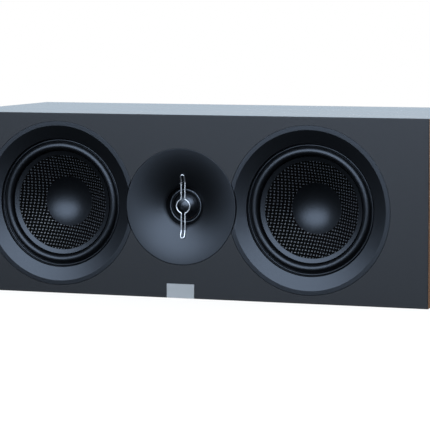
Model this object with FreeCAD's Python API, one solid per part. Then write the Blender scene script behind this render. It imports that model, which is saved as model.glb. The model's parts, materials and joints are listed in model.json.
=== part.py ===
import FreeCAD
import Part
import math
import os

# Center channel speaker: two woofers beside a tweeter in a wrapped cabinet.
# Millimetres. X runs along the width, Y from the front to the back, Z up.
# The origin is at the bottom centre of the whole speaker, and the front faces -Y.
# Depths are counted from the baffle's front face towards the back.

# Cabinet
CABINET_WIDTH = 500.0
CABINET_HEIGHT = 180.0
CABINET_DEPTH = 237.5
SLEEVE_WALL = 12.0
EDGE_ROUND = 0.8
BAFFLE_LIP = 3.5
BAFFLE_PLUG = 16.5
REAR_PANEL = 15.0
REAR_INSET = 4.0
PANEL_FIT = 0.2
SEAT_GAP = 0.15

# Badge plate
BADGE_WIDTH = 28.8
BADGE_HEIGHT = 14.0
BADGE_THICKNESS = 1.0
BADGE_CORNER = 0.6
BADGE_LIFT = 0.2

# Braces and lining
BRACE_OFFSET = 62.0
BRACE_THICKNESS = 12.0
BRACE_MARGIN = 26.0
BRACE_WINDOW_ROUND = 16.0
LINING_THICKNESS = 16.0
LINING_MARGIN = 14.0
LINING_ROUND = 5.0

# Woofer trim ring
RING_OVERLAP = 8.0
RING_OUTER = 81.7
RING_RIM = 4.3
BEVEL_WIDTH = 13.0
BEVEL_DEPTH = 5.0
RING_SHELL = 2.5
RING_WALL = 2.6
RING_LIP_REACH = 2.6
RING_BEAD = 0.7
RING_LIP = 0.75
RING_FOOT = 5.6
RING_SEAM = 0.25
BITE_GAP = 0.7

# Woofer moving parts
TRAVEL = 4.0
ROLL_OUTER = 60.6
ROLL_WIDTH = 7.7
SURROUND_WALL = 0.6
SURROUND_FLANGE = 2.9
SURROUND_BAND = 5.7
GROOVE_WIDTH = 1.5
GROOVE_DEPTH = 2.4
CONE_SLOPE = 0.762
CONE_NECK_SLOPE = 1.3
CONE_WALL = 0.9
CAP_RADIUS = 25.0
CAP_SAG = 10.5
CAP_WALL = 0.6
FORMER_OUTER = 13.0
FORMER_WALL = 0.35
FORMER_NECK = 1.6
WINDING_WALL = 0.6
WINDING_LENGTH = 12.0
COIL_GAP = 0.55
NECK_TO_SPIDER = 4.5
SPIDER_OUTER = 42.0
SPIDER_GLUE = 4.0
SPIDER_WAVE = 1.6
SPIDER_WAVE_COUNT = 4
SPIDER_WALL = 0.6
SPIDER_CLEARANCE = 6.0

# Woofer basket and motor
FLANGE_OUTER = 71.0
FLANGE_THICKNESS = 3.0
FLANGE_FIT = 0.3
BASKET_WALL = 1.8
BASKET_HOLE_FIT = 0.8
BASKET_WINDOW_COUNT = 6
WINDOW_ANGLE = 42.0
WINDOW_MARGIN = 4.0
BASKET_SEAT = 10.0
TOP_PLATE_RADIUS = 37.0
TOP_PLATE = 6.0
MAGNET_RADIUS = 42.0
MAGNET_HOLE = 20.0
MAGNET = 16.0
BACK_PLATE_RADIUS = 39.0
BACK_PLATE = 6.0
POLE_VENT = 5.0
WOOFER_SCREW_COUNT = 4
WOOFER_SCREW_ANGLE = 45.0
SCREW_HEAD = 3.0
SCREW_RADIUS = 1.6
SCREW_COUNTERSINK = 1.6
SCREW_BITE = 6.0
SCREW_FIT = 0.15

# Tweeter waveguide and guard
DISC_RADIUS = 57.1
DISC_SEAM = 0.25
DISC_RIM = 3.0
RIM_ANGLE = 4.0
SHOULDER_RADIUS = 31.0
SHOULDER_DEPTH = 5.4
THROAT_LIP_RADIUS = 22.4
THROAT_LIP_DEPTH = 8.8
THROAT_RADIUS = 19.4
THROAT_WALL = 2.4
MOUTH_DEPTH = 14.3
GUIDE_BACK_WALL = 2.8
SPIGOT_RADIUS = 47.5
SPIGOT_DEPTH = 1.8
SKIRT_RADIUS = 40.0
SKIRT_WALL = 3.4
SPIGOT_FIT = 0.8
GUARD_WIRE = 0.65
GUARD_PITCH = 3.9
GUARD_RING = 6.9
GUARD_BEND = 1.2
GUARD_REACH = 31.0
GUARD_RUN = 24.0
GUARD_RUN_DEPTH = 7.2
GUARD_RUN_BEND = 5.0

# Tweeter dome and motor
DOME_TRAVEL = 0.4
DOME_RADIUS = 12.7
DOME_RISE = 6.0
DOME_WALL = 0.4
DOME_BASE = 15.6
DOME_ROLL = 2.4
DOME_SURROUND_WALL = 0.35
FACE_RING_STEP = 2.2
FACE_RING_BEAD = 0.9
FACE_RING_FIT = 0.2
DOME_FORMER_WALL = 0.25
DOME_WINDING = 0.35
DOME_WINDING_LENGTH = 3.0
DOME_COIL_GAP = 0.45
DOME_CLEARANCE = 2.0
DOME_PLATE_RADIUS = 40.0
DOME_PLATE = 4.0
DOME_MAGNET_RADIUS = 36.0
DOME_MAGNET_HOLE = 18.0
DOME_MAGNET = 11.0
DOME_BACK_RADIUS = 34.0
DOME_BACK = 5.0
DOME_VENT = 3.0
DOME_SCREW_COUNT = 3
DOME_SCREW_ANGLE = 90.0
DOME_SCREW_RADIUS = 0.9
DOME_SCREW_HEAD = 1.6
DOME_SCREW_HEAD_HEIGHT = 1.4
DOME_SCREW_BITE = 5.0

# Bass ports
PORT_INSET = 100.0
PORT_BORE = 22.0
PORT_FLARE = 8.0
PORT_WALL = 2.4
PORT_FLANGE = 38.0
PORT_FLANGE_THICKNESS = 2.5
PORT_LENGTH = 100.0
PORT_FIT = 0.4

# Terminal cup and binding posts
CUP_WIDTH = 84.0
CUP_HEIGHT = 64.0
CUP_CORNER = 9.0
CUP_FLANGE = 2.5
CUP_RIM = 8.0
CUP_WALL = 2.4
CUP_DEPTH = 30.0
CUP_FIT = 0.5
CUP_SCREW_RADIUS = 1.6
CUP_SCREW_HEAD = 2.8
CUP_SCREW_HEAD_HEIGHT = 1.2
CUP_SCREW_LENGTH = 10.0
POST_SPACING = 19.05
POST_RADIUS = 3.0
POST_FLANGE = 6.6
POST_FLANGE_THICKNESS = 3.0
POST_TAIL = 14.0
SOCKET_RADIUS = 2.0
SOCKET_LENGTH = 12.0
WIRE_HOLE = 0.9
THREAD_FIT = 0.25
WASHER_THICKNESS = 1.2
KNOB_RADIUS = 7.5
KNOB_LENGTH = 16.0
KNOB_CAP = 2.0
KNOB_CAP_HOLE = 2.4
KNOB_GROOVE_COUNT = 12
KNOB_GROOVE = 0.8
CLAMP_GAP = 0.1
NUT_FLATS = 10.0
NUT_SIDE_COUNT = 6
NUT_ANGLE = 30.0
NUT_THICKNESS = 5.0

# Crossover
BOARD_LENGTH = 96.0
BOARD_THICKNESS = 1.6
BOARD_FRONT = 70.0
BOARD_INSET = 6.0
STANDOFF_RADIUS = 3.0
STANDOFF_HEIGHT = 6.0
COIL_OUTER = 17.0
COIL_CORE = 7.0
COIL_HEIGHT = 16.0
BOBBIN_LIP = 1.5
CAPACITOR_RADIUS = 7.0
CAPACITOR_LENGTH = 30.0
CAPACITOR_COUNT = 3
RESISTOR_LENGTH = 32.0
RESISTOR_WIDTH = 8.0
RESISTOR_COUNT = 2
PART_GAP = 4.0

# Places that follow from the sizes above
FRONT_Y = (BADGE_THICKNESS - CABINET_DEPTH) / 2
REAR_FACE_Y = FRONT_Y + CABINET_DEPTH - REAR_INSET
AXIS_Z = CABINET_HEIGHT / 2
WOOFER_X = DISC_RADIUS + RING_OUTER - RING_OVERLAP
PORT_X = CABINET_WIDTH / 2 - PORT_INSET
POST_X = POST_SPACING / 2
INNER_WIDTH = CABINET_WIDTH - 2 * SLEEVE_WALL
INNER_HEIGHT = CABINET_HEIGHT - 2 * SLEEVE_WALL
BAFFLE_BACK = BAFFLE_LIP + BAFFLE_PLUG
REAR_PANEL_FRONT = CABINET_DEPTH - REAR_INSET - REAR_PANEL

# Woofer stack, front to back
RIM_INNER = RING_OUTER - RING_RIM
BEVEL_INNER = RIM_INNER - BEVEL_WIDTH
LIP_FRONT = BEVEL_DEPTH + RING_WALL
LIP_BACK = LIP_FRONT + RING_LIP
SURROUND_FRONT = LIP_BACK + SEAT_GAP
FLANGE_FRONT = SURROUND_FRONT + SURROUND_WALL + SEAT_GAP
FLANGE_BACK = FLANGE_FRONT + FLANGE_THICKNESS
ROLL_RADIUS = ROLL_WIDTH / 2
ROLL_INNER = ROLL_OUTER - ROLL_WIDTH
CONE_FRONT = SURROUND_FRONT + SURROUND_WALL + SEAT_GAP
CONE_INNER = FORMER_OUTER + SEAT_GAP
BAND_INNER = ROLL_INNER - SURROUND_BAND
BAND_OUTER = ROLL_INNER - GROOVE_WIDTH
CONE_OUTER = BAND_OUTER - SURROUND_WALL - SEAT_GAP
BAND_SLOPE = BEVEL_DEPTH / BEVEL_WIDTH
BASKET_HOLE = ROLL_OUTER + BASKET_WALL + BASKET_HOLE_FIT
SCREW_CIRCLE = (BASKET_HOLE + FLANGE_OUTER) / 2


def cone_depth(radius):
    """Depth of the cone's front face at a radius: flattest under the band, steepest behind the dust cap."""
    depth = CONE_FRONT
    outer = ROLL_INNER
    for inner, slope in ((BAND_INNER, BAND_SLOPE), (CAP_RADIUS, CONE_SLOPE), (0.0, CONE_NECK_SLOPE)):
        depth += max(outer - max(radius, inner), 0.0) * slope
        outer = inner
    return depth


def bevel_depth(radius):
    """Depth of the trim ring's bevel at a radius."""
    return (RIM_INNER - radius) * BEVEL_DEPTH / BEVEL_WIDTH


NECK_DEPTH = cone_depth(CONE_INNER)
SPIDER_FRONT = NECK_DEPTH + CONE_WALL + NECK_TO_SPIDER
LEDGE_FRONT = SPIDER_FRONT + SPIDER_WALL + SEAT_GAP
LEDGE_INNER = SPIDER_OUTER - SPIDER_GLUE
PLATE_FRONT = LEDGE_FRONT + TRAVEL + SPIDER_CLEARANCE
PLATE_BACK = PLATE_FRONT + TOP_PLATE
MAGNET_BACK = PLATE_BACK + MAGNET
WINDING_OUTER = FORMER_OUTER + WINDING_WALL
PLATE_HOLE = WINDING_OUTER + COIL_GAP
POLE_RADIUS = FORMER_OUTER - FORMER_WALL - COIL_GAP

# Tweeter stack, front to back
DOME_PLATE_FRONT = DOME_BASE + DOME_TRAVEL + DOME_CLEARANCE
DOME_PLATE_BACK = DOME_PLATE_FRONT + DOME_PLATE
DOME_MAGNET_BACK = DOME_PLATE_BACK + DOME_MAGNET
DOME_FORMER_OUTER = DOME_RADIUS - SEAT_GAP
DOME_WINDING_OUTER = DOME_FORMER_OUTER + DOME_WINDING
DOME_PLATE_HOLE = DOME_WINDING_OUTER + DOME_COIL_GAP
DOME_POLE = DOME_FORMER_OUTER - DOME_FORMER_WALL - DOME_COIL_GAP
DOME_ROLL_INNER = DOME_RADIUS + SEAT_GAP
DOME_ROLL_OUTER = DOME_ROLL_INNER + DOME_ROLL
FACE_RING_INNER = DOME_ROLL_OUTER + SEAT_GAP
MOUTH_RADIUS = FACE_RING_INNER + FACE_RING_BEAD
DOME_SCREW_CIRCLE = SKIRT_RADIUS - SKIRT_WALL / 2

# Rear stack, outwards from the rear panel's outer face
CUP_FLOOR_Y = REAR_FACE_Y + CUP_FLANGE - CUP_DEPTH
POST_FACE_Y = CUP_FLOOR_Y + POST_FLANGE_THICKNESS
WASHER_Y = POST_FACE_Y + CLAMP_GAP
KNOB_Y = WASHER_Y + WASHER_THICKNESS + CLAMP_GAP
POST_END_Y = KNOB_Y + KNOB_LENGTH - KNOB_CAP - CLAMP_GAP
BORE_IN_KNOB = POST_RADIUS + THREAD_FIT

# Crossover layout: coils in front, capacitors and resistors behind them
BOARD_Z = SLEEVE_WALL + STANDOFF_HEIGHT
BOBBIN_RADIUS = COIL_OUTER + BOBBIN_LIP
BOARD_DEPTH = 2 * BOBBIN_RADIUS + 3 * PART_GAP + max(CAPACITOR_LENGTH, RESISTOR_LENGTH)

FULL_TURN = 360.0
DIAGONAL = math.sqrt(0.5)
LIKENESS = 1e-6
SIDES = {"left": -1, "right": 1}
POLES = {"negative": -1, "positive": 1}


def vector(x, y, z=0.0):
    return FreeCAD.Vector(x, y, z)


def box(x_span, y_span, z_span):
    """Block between pairs of coordinates."""
    low = vector(x_span[0], y_span[0], z_span[0])
    return Part.makeBox(x_span[1] - x_span[0], y_span[1] - y_span[0], z_span[1] - z_span[0], low)


def profile(start, *steps):
    """Closed face of radius and depth. A step is a point, or an arc's middle point and end."""
    edges = []
    here = vector(*start)
    for step in steps:
        if isinstance(step[0], tuple):
            there = vector(*step[1])
            edges.append(Part.Arc(here, vector(*step[0]), there).toShape())
        else:
            there = vector(*step)
            edges.append(Part.LineSegment(here, there).toShape())
        here = there
    edges.append(Part.LineSegment(here, vector(*start)).toShape())
    return Part.Face(Part.Wire(edges))


def turned(start, *steps, angle=FULL_TURN):
    """Solid turned about the depth axis from a profile of radius and depth."""
    return profile(start, *steps).revolve(vector(0, 0), vector(0, 1), angle)


def rod(radius, depth_from, depth_to, x=0.0, z=0.0):
    """Round bar along the depth axis."""
    return Part.makeCylinder(radius, depth_to - depth_from, vector(x, depth_from, z), vector(0, 1))


def tube(outer, inner, depth_from, depth_to):
    return rod(outer, depth_from, depth_to).cut(rod(inner, depth_from, depth_to))


def around(shape, count, start_angle=0.0):
    """Copies of a shape spread evenly round the depth axis."""
    copies = []
    for index in range(count):
        copy = shape.copy()
        copy.rotate(vector(0, 0), vector(0, 1), start_angle + index * FULL_TURN / count)
        copies.append(copy)
    return copies


def circle_places(radius, count, start_angle):
    """X and Z of points spread evenly on a circle."""
    places = []
    for index in range(count):
        angle = math.radians(start_angle + index * FULL_TURN / count)
        places.append((radius * math.cos(angle), radius * math.sin(angle)))
    return places


def edges_along(shape, axis):
    """Straight edges of a block that run along an axis."""
    return [
        edge
        for edge in shape.Edges
        if edge.tangentAt(edge.FirstParameter).cross(axis).Length < LIKENESS
    ]


def rounded_slab(width, height, depth_from, depth_to, corner):
    """Slab across the depth axis with rounded corners, centred on the axis."""
    slab = box((-width / 2, width / 2), (depth_from, depth_to), (-height / 2, height / 2))
    return slab.makeFillet(corner, edges_along(slab, vector(0, 1)))


def dish(radius, rim_depth, sag, wall):
    """Cap with its centre sag deeper than its rim; a negative sag makes a dome."""
    ball = (radius ** 2 + sag ** 2) / (2 * abs(sag))
    half = radius / 2
    half_depth = rim_depth + sag - math.copysign(ball - math.sqrt(ball ** 2 - half ** 2), sag)
    return turned(
        (radius, rim_depth),
        ((half, half_depth), (0, rim_depth + sag)),
        (0, rim_depth + sag + wall),
        ((half, half_depth + wall), (radius, rim_depth + wall)),
    )


def tangent_arc(start, angle, end):
    """Bend radius, middle point and end angle of the arc that leaves start inwards at an angle for end."""
    across = start[0] - end[0]
    down = end[1] - start[1]
    chord_angle = math.atan2(down, across)
    bend = math.hypot(across, down) / (2 * math.sin(chord_angle - angle))
    middle = (
        start[0] - bend * (math.sin(chord_angle) - math.sin(angle)),
        start[1] + bend * (math.cos(angle) - math.cos(chord_angle)),
    )
    return bend, middle, 2 * chord_angle - angle


def at_driver(shape, x=0.0):
    """Moves a piece from its own axis to a driver's axis on the baffle."""
    shape.translate(vector(x, FRONT_Y, AXIS_Z))
    return shape


def at_rear(shape, x=0.0):
    """Moves a piece from the middle of the rear panel's outer face to its place."""
    shape.translate(vector(x, REAR_FACE_Y, AXIS_Z))
    return shape


def cabinet_sleeve():
    outer = box((-CABINET_WIDTH / 2, CABINET_WIDTH / 2), (BAFFLE_LIP, CABINET_DEPTH), (0, CABINET_HEIGHT))
    outer = outer.makeFillet(EDGE_ROUND, edges_along(outer, vector(0, 1)))
    room_top = CABINET_HEIGHT - SLEEVE_WALL
    room = box((-INNER_WIDTH / 2, INNER_WIDTH / 2), (BAFFLE_LIP, CABINET_DEPTH), (SLEEVE_WALL, room_top))
    sleeve = outer.cut(room)
    sleeve.translate(vector(0, FRONT_Y))
    return sleeve


def woofer_pocket():
    """Stepped hole in the baffle for a trim ring, a basket flange and the basket behind it."""
    ring_pocket = RING_OUTER + RING_SEAM
    flange_pocket = FLANGE_OUTER + FLANGE_FIT
    return turned(
        (0, 0),
        (ring_pocket, 0),
        (ring_pocket, RING_SHELL),
        (RIM_INNER, RING_SHELL),
        (flange_pocket, bevel_depth(flange_pocket) + RING_SHELL),
        (flange_pocket, FLANGE_BACK),
        (BASKET_HOLE, FLANGE_BACK),
        (BASKET_HOLE, BAFFLE_BACK),
        (0, BAFFLE_BACK),
    )


def tweeter_pocket():
    disc_pocket = DISC_RADIUS + DISC_SEAM
    spigot_hole = SPIGOT_RADIUS + SPIGOT_FIT
    return turned(
        (0, 0),
        (disc_pocket, 0),
        (disc_pocket, DISC_RIM),
        (spigot_hole, DISC_RIM),
        (spigot_hole, BAFFLE_BACK),
        (0, BAFFLE_BACK),
    )


def front_baffle():
    half_width = CABINET_WIDTH / 2
    half_height = CABINET_HEIGHT / 2
    face = box((-half_width, half_width), (0, BAFFLE_LIP), (-half_height, half_height))
    rim = [edge for edge in face.Edges if edge.BoundBox.YMax < BAFFLE_LIP / 2]
    face = face.makeFillet(EDGE_ROUND, rim)
    plug_x = INNER_WIDTH / 2 - PANEL_FIT
    plug_z = INNER_HEIGHT / 2 - PANEL_FIT
    plug = box((-plug_x, plug_x), (BAFFLE_LIP, BAFFLE_BACK), (-plug_z, plug_z))
    pilot_end = FLANGE_BACK + SCREW_BITE + SCREW_FIT
    cuts = [tweeter_pocket()]
    for side in SIDES.values():
        woofer_x = side * WOOFER_X
        pocket = woofer_pocket()
        pocket.translate(vector(woofer_x, 0))
        cuts.append(pocket)
        for x, z in circle_places(SCREW_CIRCLE, WOOFER_SCREW_COUNT, WOOFER_SCREW_ANGLE):
            cuts.append(rod(SCREW_RADIUS + SCREW_FIT, FLANGE_BACK, pilot_end, x + woofer_x, z))
    return at_driver(face.fuse(plug).cut(cuts).removeSplitter())


def rear_panel():
    half_x = INNER_WIDTH / 2 - PANEL_FIT
    half_z = INNER_HEIGHT / 2 - PANEL_FIT
    panel = box((-half_x, half_x), (-REAR_PANEL, 0), (-half_z, half_z))
    opening_x = CUP_WIDTH - 2 * CUP_RIM + 2 * (CUP_WALL + CUP_FIT)
    opening_z = CUP_HEIGHT - 2 * CUP_RIM + 2 * (CUP_WALL + CUP_FIT)
    cuts = [rounded_slab(opening_x, opening_z, -REAR_PANEL, 0, CUP_CORNER)]
    for side in SIDES.values():
        cuts.append(rod(PORT_BORE + PORT_FLARE + PORT_FIT, -REAR_PANEL, 0, side * PORT_X))
    for x, z in cup_screw_places():
        cuts.append(rod(CUP_SCREW_RADIUS + SCREW_FIT, -CUP_SCREW_LENGTH - SCREW_FIT, 0, x, z))
    return at_rear(panel.cut(cuts))


def brace(side):
    half_z = INNER_HEIGHT / 2
    x = side * BRACE_OFFSET
    span = (x - BRACE_THICKNESS / 2, x + BRACE_THICKNESS / 2)
    sheet = box(span, (BAFFLE_BACK, REAR_PANEL_FRONT), (-half_z, half_z))
    window_y = (BAFFLE_BACK + BRACE_MARGIN, REAR_PANEL_FRONT - BRACE_MARGIN)
    window = box(span, window_y, (-half_z + BRACE_MARGIN, half_z - BRACE_MARGIN))
    return at_driver(sheet.cut(window.makeFillet(BRACE_WINDOW_ROUND, edges_along(window, vector(1, 0)))))


def lining(side):
    wall_x = side * INNER_WIDTH / 2
    span = sorted((wall_x, wall_x - side * LINING_THICKNESS))
    half_z = INNER_HEIGHT / 2 - LINING_MARGIN
    pad = box(span, (BAFFLE_BACK + LINING_MARGIN, REAR_PANEL_FRONT - LINING_MARGIN), (-half_z, half_z))
    free_edges = [edge for edge in pad.Edges if clear_of_wall(edge, wall_x)]
    return at_driver(pad.makeFillet(LINING_ROUND, free_edges))


def clear_of_wall(edge, wall_x):
    """True for an edge that doesn't lie on the wall at wall_x."""
    return abs(edge.CenterOfMass.x - wall_x) > LINING_THICKNESS / 4


def badge_plate():
    plate = rounded_slab(BADGE_WIDTH, BADGE_HEIGHT, -BADGE_THICKNESS, 0, BADGE_CORNER)
    plate.translate(vector(0, FRONT_Y, BADGE_LIFT + BADGE_HEIGHT / 2))
    return plate


def trim_ring(side):
    foot_outer = BEVEL_INNER + RING_FOOT
    lip_inner = BEVEL_INNER - RING_LIP_REACH
    bead_middle = lip_inner + RING_BEAD
    ring = turned(
        (RING_OUTER, 0),
        (RIM_INNER, 0),
        (BEVEL_INNER, BEVEL_DEPTH),
        (BEVEL_INNER, LIP_FRONT),
        (bead_middle + RING_BEAD, LIP_FRONT),
        ((bead_middle, LIP_FRONT - RING_BEAD), (lip_inner, LIP_FRONT)),
        (lip_inner, LIP_BACK),
        (BEVEL_INNER, LIP_BACK),
        (BEVEL_INNER, FLANGE_FRONT),
        (foot_outer, FLANGE_FRONT),
        (foot_outer, bevel_depth(foot_outer) + RING_SHELL),
        (RIM_INNER, RING_SHELL),
        (RING_OUTER, RING_SHELL),
    )
    bite = rod(DISC_RADIUS + BITE_GAP, -RING_SHELL, FLANGE_BACK, -side * WOOFER_X)
    return ring.cut(bite)


def band_depth(radius):
    """Depth of the front of the surround's band at a radius."""
    return SURROUND_FRONT + (ROLL_INNER - radius) * BAND_SLOPE


def surround():
    """Flange, half roll, groove and sloping band, all of one sheet."""
    roll_middle = ROLL_INNER + ROLL_RADIUS
    back = SURROUND_FRONT + SURROUND_WALL
    inner_roll = ROLL_RADIUS - SURROUND_WALL
    floor = SURROUND_FRONT + GROOVE_DEPTH
    floor_back = floor + SURROUND_WALL
    wall_inner = BAND_OUTER - SURROUND_WALL
    flange_outer = ROLL_OUTER + SURROUND_FLANGE
    return turned(
        (flange_outer, SURROUND_FRONT),
        (ROLL_OUTER, SURROUND_FRONT),
        ((roll_middle, SURROUND_FRONT - ROLL_RADIUS), (ROLL_INNER, SURROUND_FRONT)),
        (ROLL_INNER, floor),
        (BAND_OUTER, floor),
        (BAND_OUTER, band_depth(BAND_OUTER)),
        (BAND_INNER, band_depth(BAND_INNER)),
        (BAND_INNER, band_depth(BAND_INNER) + SURROUND_WALL),
        (wall_inner, band_depth(wall_inner) + SURROUND_WALL),
        (wall_inner, floor_back),
        (roll_middle - inner_roll, floor_back),
        (roll_middle - inner_roll, back),
        ((roll_middle, back - inner_roll), (roll_middle + inner_roll, back)),
        (flange_outer, back),
    )


def cone():
    bends = (CONE_OUTER, BAND_INNER, CAP_RADIUS, CONE_INNER)
    front = [(radius, cone_depth(radius)) for radius in bends]
    back = [(radius, depth + CONE_WALL) for radius, depth in reversed(front)]
    return turned(*front, *back)


def dust_cap():
    return dish(CAP_RADIUS, cone_depth(CAP_RADIUS) - SEAT_GAP - CAP_WALL, CAP_SAG, CAP_WALL)


def voice_coil():
    """Former tube with the winding centred in the magnet's gap."""
    former_inner = FORMER_OUTER - FORMER_WALL
    gap_middle = (PLATE_FRONT + PLATE_BACK) / 2
    winding_front = gap_middle - WINDING_LENGTH / 2
    winding_back = gap_middle + WINDING_LENGTH / 2
    return turned(
        (former_inner, NECK_DEPTH - FORMER_NECK),
        (FORMER_OUTER, NECK_DEPTH - FORMER_NECK),
        (FORMER_OUTER, winding_front),
        (WINDING_OUTER, winding_front),
        (WINDING_OUTER, winding_back),
        (former_inner, winding_back),
    )


def spider():
    """Corrugated disc between the former and the basket's ledge."""
    inner = FORMER_OUTER + SEAT_GAP
    first = inner + SPIDER_GLUE / 2
    half_wave = (LEDGE_INNER - first) / (2 * SPIDER_WAVE_COUNT)
    crests = []
    for index in range(1, 2 * SPIDER_WAVE_COUNT):
        rise = SPIDER_WAVE if index % 2 else 0.0
        crests.append((first + index * half_wave, SPIDER_FRONT - rise))
    front = [(inner, SPIDER_FRONT), (first, SPIDER_FRONT)] + crests
    front += [(LEDGE_INNER, SPIDER_FRONT), (SPIDER_OUTER, SPIDER_FRONT)]
    back = [(radius, depth + SPIDER_WALL) for radius, depth in reversed(front)]
    return turned(*front, *back)


def basket():
    """Frame with a flange, windowed conical wall, spider ledge and motor seat."""
    mouth = ROLL_OUTER
    ledge_outer = SPIDER_OUTER + FLANGE_FIT
    well = LEDGE_INNER
    seat_inner = TOP_PLATE_RADIUS - BASKET_SEAT
    frame = turned(
        (mouth, FLANGE_FRONT),
        (FLANGE_OUTER, FLANGE_FRONT),
        (FLANGE_OUTER, FLANGE_BACK),
        (mouth + BASKET_WALL, FLANGE_BACK),
        (ledge_outer + BASKET_WALL, LEDGE_FRONT),
        (ledge_outer + BASKET_WALL, LEDGE_FRONT + BASKET_WALL),
        (well + BASKET_WALL, LEDGE_FRONT + BASKET_WALL),
        (well + BASKET_WALL, PLATE_FRONT),
        (seat_inner, PLATE_FRONT),
        (seat_inner, PLATE_FRONT - BASKET_WALL),
        (well, PLATE_FRONT - BASKET_WALL),
        (well, LEDGE_FRONT),
        (ledge_outer, LEDGE_FRONT),
        (mouth, FLANGE_BACK),
    )
    window = turned(
        (ledge_outer / 2, FLANGE_BACK + WINDOW_MARGIN),
        (FLANGE_OUTER, FLANGE_BACK + WINDOW_MARGIN),
        (FLANGE_OUTER, LEDGE_FRONT - WINDOW_MARGIN),
        (ledge_outer / 2, LEDGE_FRONT - WINDOW_MARGIN),
        angle=WINDOW_ANGLE,
    )
    cuts = around(window, BASKET_WINDOW_COUNT, -WINDOW_ANGLE / 2)
    for x, z in circle_places(SCREW_CIRCLE, WOOFER_SCREW_COUNT, WOOFER_SCREW_ANGLE):
        hole = countersunk_screw(SCREW_FIT)
        hole.translate(vector(x, 0, z))
        cuts.append(hole)
    return frame.cut(cuts)


def countersunk_screw(fit=0.0):
    """Wood screw with its head flush with the basket flange, or the hole for it with a fit added."""
    head = SCREW_HEAD + fit
    shank = SCREW_RADIUS + fit
    tip = FLANGE_BACK + SCREW_BITE
    return turned(
        (0, FLANGE_FRONT),
        (head, FLANGE_FRONT),
        (shank, FLANGE_FRONT + SCREW_COUNTERSINK + fit),
        (shank, tip - shank),
        (0, tip),
    )


def woofer_screws():
    screws = []
    for x, z in circle_places(SCREW_CIRCLE, WOOFER_SCREW_COUNT, WOOFER_SCREW_ANGLE):
        screw = countersunk_screw()
        screw.translate(vector(x, 0, z))
        screws.append(screw)
    return Part.makeCompound(screws)


def yoke(plate_radius, plate_front, plate, pole_radius, pole_front, vent):
    """Back plate with its pole, vented through the middle."""
    plate_back = plate_front + plate
    return turned(
        (vent, pole_front),
        (pole_radius, pole_front),
        (pole_radius, plate_front),
        (plate_radius, plate_front),
        (plate_radius, plate_back),
        (vent, plate_back),
    )


def woofer(side):
    """Pieces of one woofer, each turned about the driver's own axis."""
    return {
        "trim_ring": trim_ring(side),
        "basket": basket(),
        "surround": surround(),
        "cone": cone(),
        "dust_cap": dust_cap(),
        "spider": spider(),
        "voice_coil": voice_coil(),
        "top_plate": tube(TOP_PLATE_RADIUS, PLATE_HOLE, PLATE_FRONT, PLATE_BACK),
        "magnet": tube(MAGNET_RADIUS, MAGNET_HOLE, PLATE_BACK, MAGNET_BACK),
        "back_plate": yoke(BACK_PLATE_RADIUS, MAGNET_BACK, BACK_PLATE, POLE_RADIUS, PLATE_FRONT, POLE_VENT),
        "screws": woofer_screws(),
    }


def flare_arcs():
    """Start, start angle, end, bend radius and middle point of the flare's arcs, from the rim inwards."""
    arcs = []
    start = (DISC_RADIUS, 0.0)
    angle = math.radians(RIM_ANGLE)
    lip = (THROAT_LIP_RADIUS, THROAT_LIP_DEPTH)
    for end in ((SHOULDER_RADIUS, SHOULDER_DEPTH), lip, (MOUTH_RADIUS, MOUTH_DEPTH)):
        bend, middle, end_angle = tangent_arc(start, angle, end)
        arcs.append((start, angle, end, bend, middle))
        start = end
        angle = end_angle
    return arcs


def flare_depth(radius):
    """Depth of the flare's front face at a radius."""
    start, angle, _, bend, _ = next(arc for arc in flare_arcs() if radius >= arc[2][0])
    slope = math.asin(math.sin(angle) + (start[0] - radius) / bend)
    return start[1] + bend * (math.cos(angle) - math.cos(slope))


def flare_step(outer, inner):
    """Middle point and end of the flare's front face between two radii on one arc."""
    middle = (outer + inner) / 2
    return (middle, flare_depth(middle)), (inner, flare_depth(inner))


def waveguide():
    """Flared faceplate of tangent arcs, with a skirt behind that carries the motor."""
    front = [(middle, end) for _, _, end, _, middle in flare_arcs()[:-1]]
    skirt_inner = SKIRT_RADIUS - SKIRT_WALL
    shell_back = SHOULDER_DEPTH + GUIDE_BACK_WALL
    spigot_back = DISC_RIM + SPIGOT_DEPTH
    body = turned(
        (DISC_RADIUS, 0),
        *front,
        flare_step(THROAT_LIP_RADIUS, THROAT_RADIUS),
        (THROAT_RADIUS, DOME_BASE),
        (THROAT_RADIUS + THROAT_WALL, DOME_BASE),
        (SHOULDER_RADIUS, shell_back),
        (skirt_inner, shell_back),
        (skirt_inner, DOME_PLATE_FRONT),
        (SKIRT_RADIUS, DOME_PLATE_FRONT),
        (SKIRT_RADIUS, spigot_back),
        (SPIGOT_RADIUS, spigot_back),
        (SPIGOT_RADIUS, DISC_RIM),
        (DISC_RADIUS, DISC_RIM),
    )
    hole_radius = DOME_SCREW_RADIUS + SCREW_FIT
    hole_end = DOME_PLATE_FRONT - DOME_SCREW_BITE - SCREW_FIT
    holes = []
    for x, z in circle_places(DOME_SCREW_CIRCLE, DOME_SCREW_COUNT, DOME_SCREW_ANGLE):
        holes.append(rod(hole_radius, hole_end, DOME_PLATE_FRONT, x, z))
    return body.cut(holes)


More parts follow.
